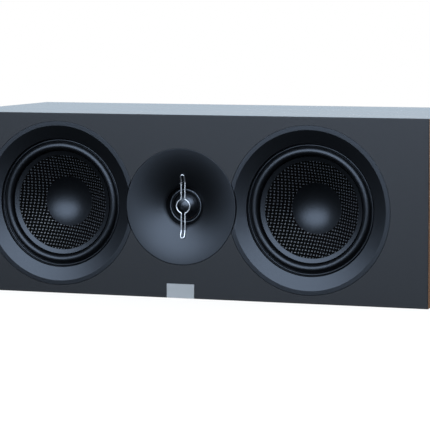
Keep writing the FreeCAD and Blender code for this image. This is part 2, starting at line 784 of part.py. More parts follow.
def guard_quarter():
    """Upper right quarter of the guard's wire, from its top end to the side of its ring."""
    x = GUARD_PITCH / 2
    run_end = vector(x, GUARD_RUN_DEPTH, GUARD_RUN)
    top = vector(0, flare_depth(GUARD_REACH) - GUARD_WIRE - SEAT_GAP, GUARD_REACH)
    lean = math.atan2(GUARD_RUN_DEPTH - top.y, GUARD_REACH - GUARD_RUN)
    up_flare = vector(0, -math.sin(lean), math.cos(lean))
    down = vector(0, 0, -1)
    end_centre = top - up_flare * x
    end_middle = end_centre + (up_flare + vector(1, 0)) * (x * DIAGONAL)
    end_side = end_centre + vector(x, 0)
    trim = GUARD_RUN_BEND * math.tan(lean / 2)
    inward = (up_flare + down).normalize()
    bend_middle = run_end + inward * (GUARD_RUN_BEND / math.cos(lean / 2) - GUARD_RUN_BEND)
    bend_start = run_end + up_flare * trim
    bend_end = run_end + down * trim
    corner = vector(x + GUARD_BEND, GUARD_RUN_DEPTH)
    corner.z = math.sqrt((GUARD_RING + GUARD_BEND) ** 2 - corner.x ** 2)
    aim = math.atan2(corner.z, corner.x)
    ring_start = on_circle(vector(0, GUARD_RUN_DEPTH), GUARD_RING, aim)
    return [
        Part.Arc(top, end_middle, end_side).toShape(),
        Part.LineSegment(end_side, bend_start).toShape(),
        Part.Arc(bend_start, bend_middle, bend_end).toShape(),
        Part.LineSegment(bend_end, on_circle(corner, GUARD_BEND, math.pi)).toShape(),
        Part.Arc(
            on_circle(corner, GUARD_BEND, math.pi),
            on_circle(corner, GUARD_BEND, math.pi + aim / 2),
            ring_start,
        ).toShape(),
        Part.Arc(
            ring_start,
            on_circle(vector(0, GUARD_RUN_DEPTH), GUARD_RING, aim / 2),
            vector(GUARD_RING, GUARD_RUN_DEPTH),
        ).toShape(),
    ]


def on_circle(centre, radius, angle):
    """Point of a circle across the depth axis."""
    return centre + vector(radius * math.cos(angle), 0, radius * math.sin(angle))


def guard():
    """Wire bent into one closed loop: round ends on the flare, straight runs and a ring."""
    right = guard_quarter()
    left = [edge.mirror(vector(0, 0), vector(1, 0)) for edge in right]
    path = Part.Wire(Part.sortEdges(right + left)[0])
    section = Part.makeCircle(GUARD_WIRE, vector(GUARD_RING, GUARD_RUN_DEPTH), vector(0, 0, 1))
    upper = path.makePipeShell([Part.Wire([section])], True, False)
    lower = upper.mirror(vector(0, 0), vector(0, 0, 1))
    return upper.fuse(lower).removeSplitter()


def face_ring():
    """Ring that carries the flare on from the throat to a bead at the dome's edge."""
    outer = THROAT_RADIUS - FACE_RING_FIT
    step_radius = outer - FACE_RING_STEP
    bead_middle = (FACE_RING_INNER + MOUTH_RADIUS) / 2
    bead_front = MOUTH_DEPTH - FACE_RING_BEAD / 2
    lip_back = DOME_BASE - SEAT_GAP
    return turned(
        (outer, flare_depth(outer)),
        flare_step(outer, MOUTH_RADIUS),
        ((bead_middle, bead_front), (FACE_RING_INNER, MOUTH_DEPTH)),
        (FACE_RING_INNER, lip_back),
        (step_radius, lip_back),
        (step_radius, DOME_PLATE_FRONT),
        (outer, DOME_PLATE_FRONT),
    )


def dome_surround():
    middle = DOME_ROLL_INNER + DOME_ROLL / 2
    outer_bend = DOME_ROLL / 2
    inner_bend = outer_bend - DOME_SURROUND_WALL
    back = DOME_BASE + DOME_SURROUND_WALL
    flange = DOME_ROLL_OUTER + FACE_RING_BEAD
    return turned(
        (flange, DOME_BASE),
        (DOME_ROLL_OUTER, DOME_BASE),
        ((middle, DOME_BASE - outer_bend), (DOME_ROLL_INNER, DOME_BASE)),
        (DOME_ROLL_INNER, back),
        (middle - inner_bend, back),
        ((middle, back - inner_bend), (middle + inner_bend, back)),
        (flange, back),
    )


def dome_coil():
    """Thin former under the dome, with its winding centred in the magnet's gap."""
    former_inner = DOME_FORMER_OUTER - DOME_FORMER_WALL
    former_front = DOME_BASE + DOME_WALL + SEAT_GAP
    gap_middle = (DOME_PLATE_FRONT + DOME_PLATE_BACK) / 2
    winding_front = gap_middle - DOME_WINDING_LENGTH / 2
    winding_back = gap_middle + DOME_WINDING_LENGTH / 2
    return turned(
        (former_inner, former_front),
        (DOME_FORMER_OUTER, former_front),
        (DOME_FORMER_OUTER, winding_front),
        (DOME_WINDING_OUTER, winding_front),
        (DOME_WINDING_OUTER, winding_back),
        (former_inner, winding_back),
    )


def dome_plate():
    plate = tube(DOME_PLATE_RADIUS, DOME_PLATE_HOLE, DOME_PLATE_FRONT, DOME_PLATE_BACK)
    holes = []
    for x, z in circle_places(DOME_SCREW_CIRCLE, DOME_SCREW_COUNT, DOME_SCREW_ANGLE):
        holes.append(rod(DOME_SCREW_RADIUS + SCREW_FIT, DOME_PLATE_FRONT, DOME_PLATE_BACK, x, z))
    return plate.cut(holes)


def dome_screws():
    """Screws from behind that hold the tweeter's motor to the waveguide's skirt."""
    screws = []
    for x, z in circle_places(DOME_SCREW_CIRCLE, DOME_SCREW_COUNT, DOME_SCREW_ANGLE):
        screw = turned(
            (0, DOME_PLATE_FRONT - DOME_SCREW_BITE),
            (DOME_SCREW_RADIUS, DOME_PLATE_FRONT - DOME_SCREW_BITE + DOME_SCREW_RADIUS),
            (DOME_SCREW_RADIUS, DOME_PLATE_BACK),
            (DOME_SCREW_HEAD, DOME_PLATE_BACK),
            (DOME_SCREW_HEAD, DOME_PLATE_BACK + DOME_SCREW_HEAD_HEIGHT),
            (0, DOME_PLATE_BACK + DOME_SCREW_HEAD_HEIGHT),
        )
        screw.translate(vector(x, 0, z))
        screws.append(screw)
    return Part.makeCompound(screws)


def tweeter():
    """Pieces of the tweeter, each turned about its own axis."""
    return {
        "waveguide": waveguide(),
        "guard": guard(),
        "face_ring": face_ring(),
        "dome": dish(DOME_RADIUS, DOME_BASE, -DOME_RISE, DOME_WALL),
        "surround": dome_surround(),
        "voice_coil": dome_coil(),
        "top_plate": dome_plate(),
        "magnet": tube(DOME_MAGNET_RADIUS, DOME_MAGNET_HOLE, DOME_PLATE_BACK, DOME_MAGNET_BACK),
        "back_plate": yoke(
            DOME_BACK_RADIUS, DOME_MAGNET_BACK, DOME_BACK, DOME_POLE, DOME_PLATE_FRONT, DOME_VENT
        ),
        "screws": dome_screws(),
    }


def port():
    """Flared duct: its flange lies on the rear panel's outer face and its tube runs into the cabinet."""
    mouth = PORT_BORE + PORT_FLARE
    face = PORT_FLANGE_THICKNESS
    tube_outer = PORT_BORE + PORT_WALL
    flare_middle = (mouth - PORT_FLARE * DIAGONAL, face - PORT_FLARE * (1 - DIAGONAL))
    return turned(
        (PORT_FLANGE, face),
        (mouth, face),
        (flare_middle, (PORT_BORE, face - PORT_FLARE)),
        (PORT_BORE, face - PORT_LENGTH),
        (tube_outer, face - PORT_LENGTH),
        (tube_outer, -PORT_FLARE),
        (mouth, -PORT_FLARE),
        (mouth, 0),
        (PORT_FLANGE, 0),
    )


def cup_screw_places():
    """Corners of the terminal cup's flange where its screws go."""
    x = (CUP_WIDTH - CUP_RIM) / 2
    z = (CUP_HEIGHT - CUP_RIM) / 2
    return [(side_x * x, side_z * z) for side_x in (-1, 1) for side_z in (-1, 1)]


def terminal_cup():
    room_x = CUP_WIDTH - 2 * CUP_RIM
    room_z = CUP_HEIGHT - 2 * CUP_RIM
    floor = CUP_FLANGE - CUP_DEPTH
    floor_back = floor - CUP_WALL
    flange = rounded_slab(CUP_WIDTH, CUP_HEIGHT, 0, CUP_FLANGE, CUP_CORNER)
    body = rounded_slab(room_x + 2 * CUP_WALL, room_z + 2 * CUP_WALL, floor_back, 0, CUP_CORNER)
    cuts = [rounded_slab(room_x, room_z, floor, CUP_FLANGE, CUP_CORNER - CUP_WALL)]
    for side in POLES.values():
        cuts.append(rod(POST_RADIUS + THREAD_FIT, floor_back, floor, side * POST_X))
    for x, z in cup_screw_places():
        cuts.append(rod(CUP_SCREW_RADIUS + SCREW_FIT, 0, CUP_FLANGE, x, z))
    return at_rear(flange.fuse(body).cut(cuts).removeSplitter())


def cup_screws():
    screws = []
    for x, z in cup_screw_places():
        screw = turned(
            (0, CUP_FLANGE + CUP_SCREW_HEAD_HEIGHT),
            (CUP_SCREW_HEAD, CUP_FLANGE + CUP_SCREW_HEAD_HEIGHT),
            (CUP_SCREW_HEAD, CUP_FLANGE),
            (CUP_SCREW_RADIUS, CUP_FLANGE),
            (CUP_SCREW_RADIUS, CUP_SCREW_RADIUS - CUP_SCREW_LENGTH),
            (0, -CUP_SCREW_LENGTH),
        )
        screw.translate(vector(x, 0, z))
        screws.append(screw)
    return at_rear(Part.makeCompound(screws))


def at_post(shape, pole):
    """Moves a piece, made with its depths as they are in the speaker, to a post's axis."""
    shape.translate(vector(pole * POST_X, 0, AXIS_Z))
    return shape


def post(pole):
    """Turned post: threaded tail, flange on the cup's floor, and a stud with a socket and a wire hole."""
    stud = turned(
        (0, CUP_FLOOR_Y - POST_TAIL),
        (POST_RADIUS, CUP_FLOOR_Y - POST_TAIL),
        (POST_RADIUS, CUP_FLOOR_Y),
        (POST_FLANGE, CUP_FLOOR_Y),
        (POST_FLANGE, POST_FACE_Y),
        (POST_RADIUS, POST_FACE_Y),
        (POST_RADIUS, POST_END_Y),
        (SOCKET_RADIUS, POST_END_Y),
        (SOCKET_RADIUS, POST_END_Y - SOCKET_LENGTH),
        (0, POST_END_Y - SOCKET_LENGTH),
    )
    across = vector(-POST_RADIUS, POST_FACE_Y + CLAMP_GAP + WIRE_HOLE)
    wire_hole = Part.makeCylinder(WIRE_HOLE, 2 * POST_RADIUS, across, vector(1, 0))
    return at_post(stud.cut(wire_hole), pole)


def washer(pole):
    ring = tube(POST_FLANGE, BORE_IN_KNOB, WASHER_Y, WASHER_Y + WASHER_THICKNESS)
    return at_post(ring, pole)


def knob(pole):
    """Grooved clamping knob, open at its end for a plug."""
    end = KNOB_Y + KNOB_LENGTH
    body = turned(
        (BORE_IN_KNOB, KNOB_Y),
        (KNOB_RADIUS, KNOB_Y),
        (KNOB_RADIUS, end - KNOB_GROOVE),
        (KNOB_RADIUS - KNOB_GROOVE, end),
        (KNOB_CAP_HOLE, end),
        (KNOB_CAP_HOLE, end - KNOB_CAP),
        (BORE_IN_KNOB, end - KNOB_CAP),
    )
    groove = rod(KNOB_GROOVE, KNOB_Y + KNOB_CAP, end, KNOB_RADIUS)
    return at_post(body.cut(around(groove, KNOB_GROOVE_COUNT)), pole)


def post_nuts():
    back = CUP_FLOOR_Y - CUP_WALL
    corner_radius = NUT_FLATS / (2 * math.cos(math.pi / NUT_SIDE_COUNT))
    nuts = []
    for pole in POLES.values():
        places = circle_places(corner_radius, NUT_SIDE_COUNT, NUT_ANGLE)
        corners = [vector(x, back, z) for x, z in places]
        corners.append(corners[0])
        blank = Part.Face(Part.makePolygon(corners)).extrude(vector(0, -NUT_THICKNESS))
        nuts.append(at_post(blank.cut(rod(BORE_IN_KNOB, back - NUT_THICKNESS, back)), pole))
    return Part.makeCompound(nuts)


def board_corners():
    """X and Y of the crossover board's standoffs."""
    x = BOARD_LENGTH / 2 - BOARD_INSET
    front_row = FRONT_Y + BOARD_FRONT + BOARD_INSET
    back_row = FRONT_Y + BOARD_FRONT + BOARD_DEPTH - BOARD_INSET
    return [(side * x, y) for side in SIDES.values() for y in (front_row, back_row)]


def crossover_board():
    front = FRONT_Y + BOARD_FRONT
    half = BOARD_LENGTH / 2
    return box((-half, half), (front, front + BOARD_DEPTH), (BOARD_Z, BOARD_Z + BOARD_THICKNESS))


def crossover_standoffs():
    pillars = []
    for x, y in board_corners():
        pillars.append(Part.makeCylinder(STANDOFF_RADIUS, STANDOFF_HEIGHT, vector(x, y, SLEEVE_WALL)))
    return Part.makeCompound(pillars)


def crossover_coils():
    """Two air-core coils on bobbins, standing on the board."""
    top = BOARD_Z + BOARD_THICKNESS
    y = FRONT_Y + BOARD_FRONT + PART_GAP + BOBBIN_RADIUS
    coils = []
    for side in SIDES.values():
        centre = vector(side * (BOBBIN_RADIUS + PART_GAP / 2), y, top)
        lips = []
        for height in (0, COIL_HEIGHT - BOBBIN_LIP):
            lips.append(Part.makeCylinder(BOBBIN_RADIUS, BOBBIN_LIP, centre + vector(0, 0, height)))
        winding = Part.makeCylinder(COIL_OUTER, COIL_HEIGHT, centre)
        core = Part.makeCylinder(COIL_CORE, COIL_HEIGHT, centre)
        coils.append(winding.fuse(lips).cut(core).removeSplitter())
    return Part.makeCompound(coils)


def second_row():
    """Left edge and front of the row of capacitors and resistors behind the coils."""
    width = CAPACITOR_COUNT * 2 * CAPACITOR_RADIUS + RESISTOR_COUNT * RESISTOR_WIDTH
    width += (CAPACITOR_COUNT + RESISTOR_COUNT - 1) * PART_GAP
    return -width / 2, FRONT_Y + BOARD_FRONT + 2 * BOBBIN_RADIUS + 2 * PART_GAP


def crossover_capacitors():
    left, front = second_row()
    z = BOARD_Z + BOARD_THICKNESS + CAPACITOR_RADIUS
    cans = []
    for index in range(CAPACITOR_COUNT):
        x = left + CAPACITOR_RADIUS + index * (2 * CAPACITOR_RADIUS + PART_GAP)
        cans.append(Part.makeCylinder(CAPACITOR_RADIUS, CAPACITOR_LENGTH, vector(x, front, z), vector(0, 1)))
    return Part.makeCompound(cans)


def crossover_resistors():
    left, front = second_row()
    left += CAPACITOR_COUNT * (2 * CAPACITOR_RADIUS + PART_GAP)
    z = BOARD_Z + BOARD_THICKNESS
    bars = []
    for index in range(RESISTOR_COUNT):
        x = left + index * (RESISTOR_WIDTH + PART_GAP)
        bars.append(box((x, x + RESISTOR_WIDTH), (front, front + RESISTOR_LENGTH), (z, z + RESISTOR_WIDTH)))
    return Part.makeCompound(bars)


def build():
    """Every piece of the speaker in its place, by name."""
    pieces = {
        "cabinet_sleeve": cabinet_sleeve(),
        "front_baffle": front_baffle(),
        "rear_panel": rear_panel(),
        "badge_plate": badge_plate(),
        "terminal_cup": terminal_cup(),
        "cup_screws": cup_screws(),
        "post_nuts": post_nuts(),
        "crossover_board": crossover_board(),
        "crossover_standoffs": crossover_standoffs(),
        "crossover_coils": crossover_coils(),
        "crossover_capacitors": crossover_capacitors(),
        "crossover_resistors": crossover_resistors(),
    }
    for name, side in SIDES.items():
        pieces["brace_" + name] = brace(side)
        pieces["lining_" + name] = lining(side)
        pieces["port_" + name] = at_rear(port(), side * PORT_X)
        for piece, shape in woofer(side).items():
            pieces["woofer_" + name + "_" + piece] = at_driver(shape, side * WOOFER_X)
    for piece, shape in tweeter().items():
        pieces["tweeter_" + piece] = at_driver(shape)
    for name, pole in POLES.items():
        pieces[name + "_post"] = post(pole)
        pieces[name + "_washer"] = washer(pole)
        pieces[name + "_knob"] = knob(pole)
    return pieces


def main():
    os.makedirs("parts", exist_ok=True)
    for name, shape in build().items():
        shape.exportStep(os.path.join("parts", name + ".step"))


main()
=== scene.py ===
import json
import math

import bmesh
import bpy
from mathutils import Euler, Matrix, Vector, noise


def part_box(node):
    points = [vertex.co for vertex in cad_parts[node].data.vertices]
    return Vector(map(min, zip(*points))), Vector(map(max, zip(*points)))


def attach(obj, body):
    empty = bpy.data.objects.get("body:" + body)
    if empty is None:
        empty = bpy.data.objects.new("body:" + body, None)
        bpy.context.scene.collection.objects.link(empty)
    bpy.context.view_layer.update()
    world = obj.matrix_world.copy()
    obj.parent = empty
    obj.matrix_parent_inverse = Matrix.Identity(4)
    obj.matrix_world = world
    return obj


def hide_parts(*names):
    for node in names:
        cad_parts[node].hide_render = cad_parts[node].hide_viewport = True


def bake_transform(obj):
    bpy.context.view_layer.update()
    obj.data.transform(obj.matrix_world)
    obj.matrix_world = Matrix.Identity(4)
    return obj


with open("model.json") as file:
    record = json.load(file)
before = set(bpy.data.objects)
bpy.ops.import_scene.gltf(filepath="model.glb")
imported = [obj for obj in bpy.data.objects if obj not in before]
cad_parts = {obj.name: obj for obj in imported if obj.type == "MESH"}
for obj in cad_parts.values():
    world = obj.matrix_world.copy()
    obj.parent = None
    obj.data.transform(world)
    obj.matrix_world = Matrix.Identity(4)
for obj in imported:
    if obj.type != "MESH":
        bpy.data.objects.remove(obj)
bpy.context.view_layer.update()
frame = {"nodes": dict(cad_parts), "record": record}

# Center channel speaker: two woofers beside a tweeter in a wrapped cabinet.
# Metres. X runs along the width, Y from the front to the back, Z up.
# Radii are counted from a driver's axis, depths from the baffle's front face.


def middle(node):
    """Middle of a solid's box."""
    low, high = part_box(node)
    return (low + high) / 2


def half_height(node):
    """Half the height of a solid, which is the radius of a round one."""
    low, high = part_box(node)
    return (high.z - low.z) / 2


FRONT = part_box("front_baffle")[0].y
AXIS_Z = middle("front_baffle").z
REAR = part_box("rear_panel")[1].y
SIDES = ("left", "right")


def front_depth(node):
    """Depth of a solid's foremost point."""
    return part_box(node)[0].y - FRONT


def back_depth(node):
    """Depth of a solid's rearmost point."""
    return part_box(node)[1].y - FRONT


# Trim ring
RING_OUTER = half_height("woofer_left_trim_ring")
RING_RIM = 0.0043
BEVEL_WIDTH = 0.013
BEVEL_DEPTH = 0.005
RING_SHELL = 0.0025
RING_WALL = 0.0026
LIP_REACH = 0.0026
LIP_BEAD = 0.0007
LIP_THICKNESS = 0.00075
LIP_GROOVE = 0.0006
RING_FOOT = 0.0056
RIM_ROUND = 0.0003
EDGE_ROUND = 0.0002
BITE_GAP = 0.0007

# Surround and cone
ROLL_OUTER = 0.0606
ROLL_WIDTH = 0.0077
SURROUND_WALL = 0.0006
SURROUND_FLANGE = 0.0029
BAND_WIDTH = 0.0057
GROOVE_WIDTH = 0.0015
GROOVE_DEPTH = 0.0024
GROOVE_DIP = 0.0005
GROOVE_SHOULDER = 0.0007
SURROUND_FRONT = front_depth("woofer_left_surround") + ROLL_WIDTH / 2
ROLL_INNER = ROLL_OUTER - ROLL_WIDTH
BAND_INNER = ROLL_INNER - BAND_WIDTH
BAND_SLOPE = BEVEL_DEPTH / BEVEL_WIDTH
CONE_SLOPE = 0.762
CAP_RADIUS = half_height("woofer_left_dust_cap")
CAP_WALL = 0.0006
CAP_SAG = back_depth("woofer_left_dust_cap") - front_depth("woofer_left_dust_cap") - CAP_WALL
SEAT_GAP = 0.00015

# Weave of the cone
THREAD_PITCH = 0.0031
CELLS_PER_THREAD = 9
THREAD_HALF_WIDTH = 0.28
THREAD_RISE = 0.0004
THREAD_WAVE = 0.0002
WEAVE_HEIGHT = THREAD_RISE + 2 * THREAD_WAVE
THREAD_WANDER = 0.0003
WEAVE_TURN = math.radians(6.0)
WANDER_SCALE = 90.0
WANDER_SEED = 1
SKIN_LIFT = 0.00012
SKIN_MARGIN = 0.0001

# Spider
SPIDER_OUTER = half_height("woofer_left_spider")
SPIDER_INNER = 0.01315
SPIDER_GLUE = 0.004
SPIDER_WAVE = 0.0016
SPIDER_WAVE_COUNT = 4
SPIDER_WALL = 0.0006

# Waveguide
DISC_RADIUS = half_height("tweeter_waveguide")
DISC_RIM = 0.003
RIM_ANGLE = math.radians(4.0)
SHOULDER = (0.031, 0.0054)
THROAT_LIP = (0.0224, 0.0088)
THROAT_RADIUS = 0.0194
MOUTH_DEPTH = 0.0143
THROAT_WALL = 0.0024
GUIDE_BACK_WALL = 0.0028
SPIGOT_RADIUS = 0.0475
SPIGOT_DEPTH = 0.0018
SKIRT_RADIUS = 0.040
SKIRT_WALL = 0.0034
GUIDE_BACK = back_depth("tweeter_waveguide")
DISC_ROUND = 0.0004

# Dome
DOME_RADIUS = half_height("tweeter_dome")
DOME_BASE = 0.0156
DOME_RISE = 0.006
DOME_WALL = 0.0004
DOME_ROLL = 0.0024
DOME_SURROUND_WALL = 0.00035
FACE_RING_STEP = 0.0022
FACE_RING_BEAD = 0.0009
FACE_RING_FIT = 0.0002
FACE_RING_INNER = DOME_RADIUS + DOME_ROLL + 2 * SEAT_GAP
MOUTH = (FACE_RING_INNER + FACE_RING_BEAD, MOUTH_DEPTH)

# Rear fittings
PORT_BORE = 0.022
PORT_FLARE = 0.008
PORT_WALL = 0.0024
PORT_FLANGE = half_height("port_left")
PORT_FLANGE_THICKNESS = 0.0025
PORT_LENGTH = 0.1
FLANGE_ROUND = 0.0008
PAN_HEAD_RADIUS = 0.0028
PAN_HEAD_HEIGHT = 0.0012
PAN_SHANK_RADIUS = 0.0016
PAN_SHANK_LENGTH = 0.01
RECESS_LENGTH = 0.0032
RECESS_WIDTH = 0.0007
RECESS_DEPTH = 0.0008
BADGE_ROUND = 0.0002

# Fineness of round pieces
RING_STEPS = 256
SMALL_STEPS = 128
SCREW_STEPS = 40
ARC_STEPS = 24
CORNER_STEPS = 4
BADGE_STEPS = 3
WELD = 1e-6
CREASE = math.radians(28.0)
FULL_TURN = 2 * math.pi
HALF_TURN = math.pi
QUARTER_TURN = math.pi / 2

# Colours
CHARCOAL = (0.0056, 0.0056, 0.0054, 1.0)
INK = (0.0006, 0.0006, 0.0006, 1.0)
SOOT = (0.012, 0.013, 0.015, 1.0)
CLOTH_LIGHT = (0.0024, 0.0026, 0.003, 1.0)
# Specular tints: a cool cast painted onto reflections, standing in for part of the lamps' bluish light
# (painted reflection colour)
PAINTED_COOL_REFLECTION = (0.75, 0.84, 1.0, 1.0)
PAINTED_PALE_COOL_REFLECTION = (0.79, 0.825, 0.92, 1.0)
WHITE = (1.0, 1.0, 1.0, 1.0)
BLACK = (0.0, 0.0, 0.0, 1.0)
WALNUT_DARK = (0.088, 0.047, 0.028, 1.0)
WALNUT_LIGHT = (0.195, 0.110, 0.067, 1.0)
WALNUT_PORE = (0.030, 0.014, 0.008, 1.0)
# Near-black colour of the weave's gaps: painted shade between the threads
WEAVE_GAP_PAINTED_SHADE = (0.0012, 0.0012, 0.0012, 1.0)
WEAVE_KNOT = (0.037, 0.042, 0.051, 1.0)

# Spans of a noise pattern that a finish uses, and the stretch of an even pattern
WIDE_SPAN = (0.25, 0.75)
NOISE_SPAN = (0.3, 0.7)
NARROW_SPAN = (0.35, 0.65)
EVEN = (1.0, 1.0, 1.0)

# Cabinet wrap
WRAP_RELIEF = 0.000004
WRAP_GLOSS = 0.08
WRAP_COAT = 0.95
WRAP_COAT_ROUGHNESS = 0.25
WRAP_COAT_IOR = 1.18
BOARD_SKIN = 0.00005

# Camera
CAMERA_PLACE = (0.81551, -2.23479, 0.28518)
CAMERA_YAW = math.radians(20.184)
CAMERA_PITCH = math.radians(5.053)
CAMERA_ROLL = math.radians(-0.062)
CAMERA_LENS = 195.07
CAMERA_SENSOR = 36.0
CAMERA_SHIFT = (-0.0035, -0.0063)

# Studio
FLOOR_SIZE = 14.0
FLOOR_WHITE = 0.88
FLOOR_FADE = (0.5, 1.8)
FLOOR_PALE = (0.82, 0.82, 0.82, 1.0)
FLOOR_BOUNCE = (0.4, 0.4, 0.4, 1.0)
WORLD_STRENGTH = 0.5
WORLD_COLOUR = (0.86, 0.93, 1.0, 1.0)
BACKDROP = (0.64, 0.83, 1.0, 1.0)
LIGHT_AIM = Vector((0.0, -0.1, 0.09))
LIGHT_DISTANCE = 2.0
LIGHT_RISE = math.radians(27.7)
LIGHT_SWING = math.radians(-2.2)
LIGHT_SIZE = (3.5, 1.95)
LIGHT_POWER = 89.0
LIGHT_COLOUR = (0.757, 0.87, 1.0)
FILL_SWINGS = (math.radians(-100.0), math.radians(100.0), HALF_TURN)
FILL_RISE = math.radians(10.0)
FILL_SIZE = (1.6, 1.6)
FILL_POWER = 46.0
ROOM_LOW = Vector((-5.0, -3.4, 0.0005))
ROOM_HIGH = Vector((2.6, 3.6, 4.0))


class Nodes:
    """Adds nodes to a shader tree."""

    def __init__(self, tree):
        self.tree = tree

    def node(self, kind, settings=None, sockets=None):
        """A node with its settings made first, then the values or links of its sockets."""
        made = self.tree.nodes.new(kind)
        for key, setting in (settings or {}).items():
            setattr(made, key, setting)
        for key, given in (sockets or {}).items():
            self.feed(made.inputs[key], given)
        return made

    def feed(self, socket, given):
        """Links a value to a socket, or sets a constant on it."""
        if isinstance(given, Value):
            self.tree.links.new(given.socket, socket)
        else:
            socket.default_value = given

    def value(self, kind, settings=None, sockets=None, output=0):
        """One output of a new node, ready for arithmetic."""
        return Value(self, self.node(kind, settings, sockets).outputs[output])

    def tint(self, share, first, second):
        """Colour between two colours."""
        made = self.node("ShaderNodeMix", {"data_type": "RGBA"}, {"Factor": share})
        colours = {"A": first, "B": second}
        for socket in made.inputs:
            if socket.type == "RGBA":
                self.feed(socket, colours[socket.name])
        return Value(self, next(output for output in made.outputs if output.type == "RGBA"))


class Value:
    """A shader socket whose arithmetic adds Math nodes."""

    def __init__(self, nodes, socket):
        self.nodes = nodes
        self.socket = socket

    def join(self, operation, first, second):
        """The result of a Math node on two values."""
        return self.nodes.value("ShaderNodeMath", {"operation": operation}, {0: first, 1: second})

    def __add__(self, other):
        return self.join("ADD", self, other)

    def __radd__(self, other):
        return self.join("ADD", other, self)

    def __sub__(self, other):
        return self.join("SUBTRACT", self, other)

    def __rsub__(self, other):
        return self.join("SUBTRACT", other, self)

    def __mul__(self, other):
        return self.join("MULTIPLY", self, other)

    def __rmul__(self, other):
        return self.join("MULTIPLY", other, self)

    def most(self, other):
        """The greater of two values."""
        return self.join("MAXIMUM", self, other)


class Finish(Nodes):
    """A material, with helpers for the patterns on it."""

    def __init__(self, name):
        self.name = name
        self.material = bpy.data.materials.new(name)
        self.material.use_nodes = True
        super().__init__(self.material.node_tree)
        self.shader = self.tree.nodes["Principled BSDF"]

    def place(self, stretch=EVEN):
        """Object coordinates, stretched."""
        here = self.value("ShaderNodeTexCoord", output="Object")
        return self.value("ShaderNodeMapping", None, {"Vector": here, "Scale": stretch})

    def noise(self, scale, detail, stretch=EVEN, distortion=0.0):
        """Soft random pattern between 0 and 1."""
        sockets = {
            "Vector": self.place(stretch),
            "Scale": scale,
            "Detail": detail,
            "Distortion": distortion,
        }
        return self.value("ShaderNodeTexNoise", None, sockets, "Fac")

    def lines(self, scale, axis):
        """Parallel lines across an axis, between 0 and 1."""
        settings = {"wave_type": "BANDS", "bands_direction": axis, "wave_profile": "SIN"}
        return self.value("ShaderNodeTexWave", settings, {"Vector": self.place(), "Scale": scale}, "Fac")

    def spread(self, source, low, high, to_low=0.0, to_high=1.0):
        """Stretches a span of values to another span."""
        sockets = {
            "Value": source,
            "From Min": low,
            "From Max": high,
            "To Min": to_low,
            "To Max": to_high,
        }
        return self.value("ShaderNodeMapRange", None, sockets)

    def vary(self, pattern, level, swing, span=NOISE_SPAN):
        """A level that a pattern moves down and up."""
        return self.spread(pattern, *span, level - swing, level + swing)

    def mottle(self, pattern, colour, swing, span=NOISE_SPAN):
        """A colour that a pattern makes darker and lighter."""
        share = self.spread(pattern, *span)
        return self.tint(share, shade(colour, 1 - swing), shade(colour, 1 + swing))

    def relief(self, height, distance):
        """Bumps the surface by a height pattern."""
        bump = self.value("ShaderNodeBump", None, {"Height": height, "Distance": distance})
        self.feed(self.shader.inputs["Normal"], bump)

    def surface(self, sockets):
        """Feeds the sockets of the material's shader."""
        for key, given in sockets.items():
            self.feed(self.shader.inputs[key], given)
        return self


def grey(level):
    """A colour without hue."""
    return (level, level, level, 1.0)


def shade(colour, share):
    """A colour made darker or lighter."""
    return tuple(channel * share for channel in colour[:3]) + (1.0,)


def moulded_plastic(name, colour, roughness, gloss, grain=2600.0, depth=0.00002, reflection_tint=WHITE):
    """Satin plastic with a fine spark-eroded grain and faint cloudiness."""
    finish = Finish(name)
    cloud = finish.noise(scale=18.0, detail=3.0)
    speck = finish.noise(scale=grain, detail=1.0)
    finish.relief(speck, depth)
    return finish.surface({
        "Base Color": finish.mottle(cloud, colour, swing=0.1),
        "Roughness": finish.vary(speck, roughness, swing=0.03, span=WIDE_SPAN),
        "Specular IOR Level": gloss,
        "Specular Tint": reflection_tint,
    })


def walnut_grain(finish):
    """Colour, roughness and height of a wood pattern that runs along the top and on down the sides."""
    figure = finish.noise(scale=42.0, detail=3.0, stretch=(0.05, 1.0, 0.05), distortion=0.6)
    streak = finish.noise(scale=240.0, detail=4.0, stretch=(0.02, 1.0, 0.02))
    vessel = finish.noise(scale=1500.0, detail=1.0, stretch=(0.03, 1.0, 0.03))
    pore = finish.spread(vessel, low=0.60, high=0.72)
    growth = finish.spread(0.6 * figure + 0.4 * streak, low=0.32, high=0.68)
    wood = finish.tint(growth, WALNUT_DARK, WALNUT_LIGHT)
    colour = finish.tint(0.55 * pore, wood, WALNUT_PORE)
    roughness = finish.spread(streak, *NOISE_SPAN, to_low=0.25, to_high=0.28)
    return colour, roughness, 0.5 * streak - 0.6 * pore


def walnut_wrap():
    """Wood-pattern wrap of the cabinet, under a clear coat."""
    finish = Finish("walnut_wrap")
    colour, roughness, height = walnut_grain(finish)
    finish.relief(height, WRAP_RELIEF)
    return finish.surface({
        "Base Color": colour,
        "Roughness": roughness,
        "Specular IOR Level": WRAP_GLOSS,
        "Coat Weight": WRAP_COAT,
        "Coat Roughness": WRAP_COAT_ROUGHNESS,
        "Coat IOR": WRAP_COAT_IOR,
    })


def outer_edges(finish, node):
    """1 on the narrow outer faces of a board, 0 on its front and back."""
    low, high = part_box(node)
    here = finish.place()
    past = []
    for axis, name in ((0, "X"), (2, "Z")):
        across = finish.value("ShaderNodeSeparateXYZ", None, {"Vector": here}, name)
        past.append((low[axis] - across).most(across - high[axis]))
    return finish.spread(past[0].most(past[1]), -2 * WELD - BOARD_SKIN, -BOARD_SKIN)


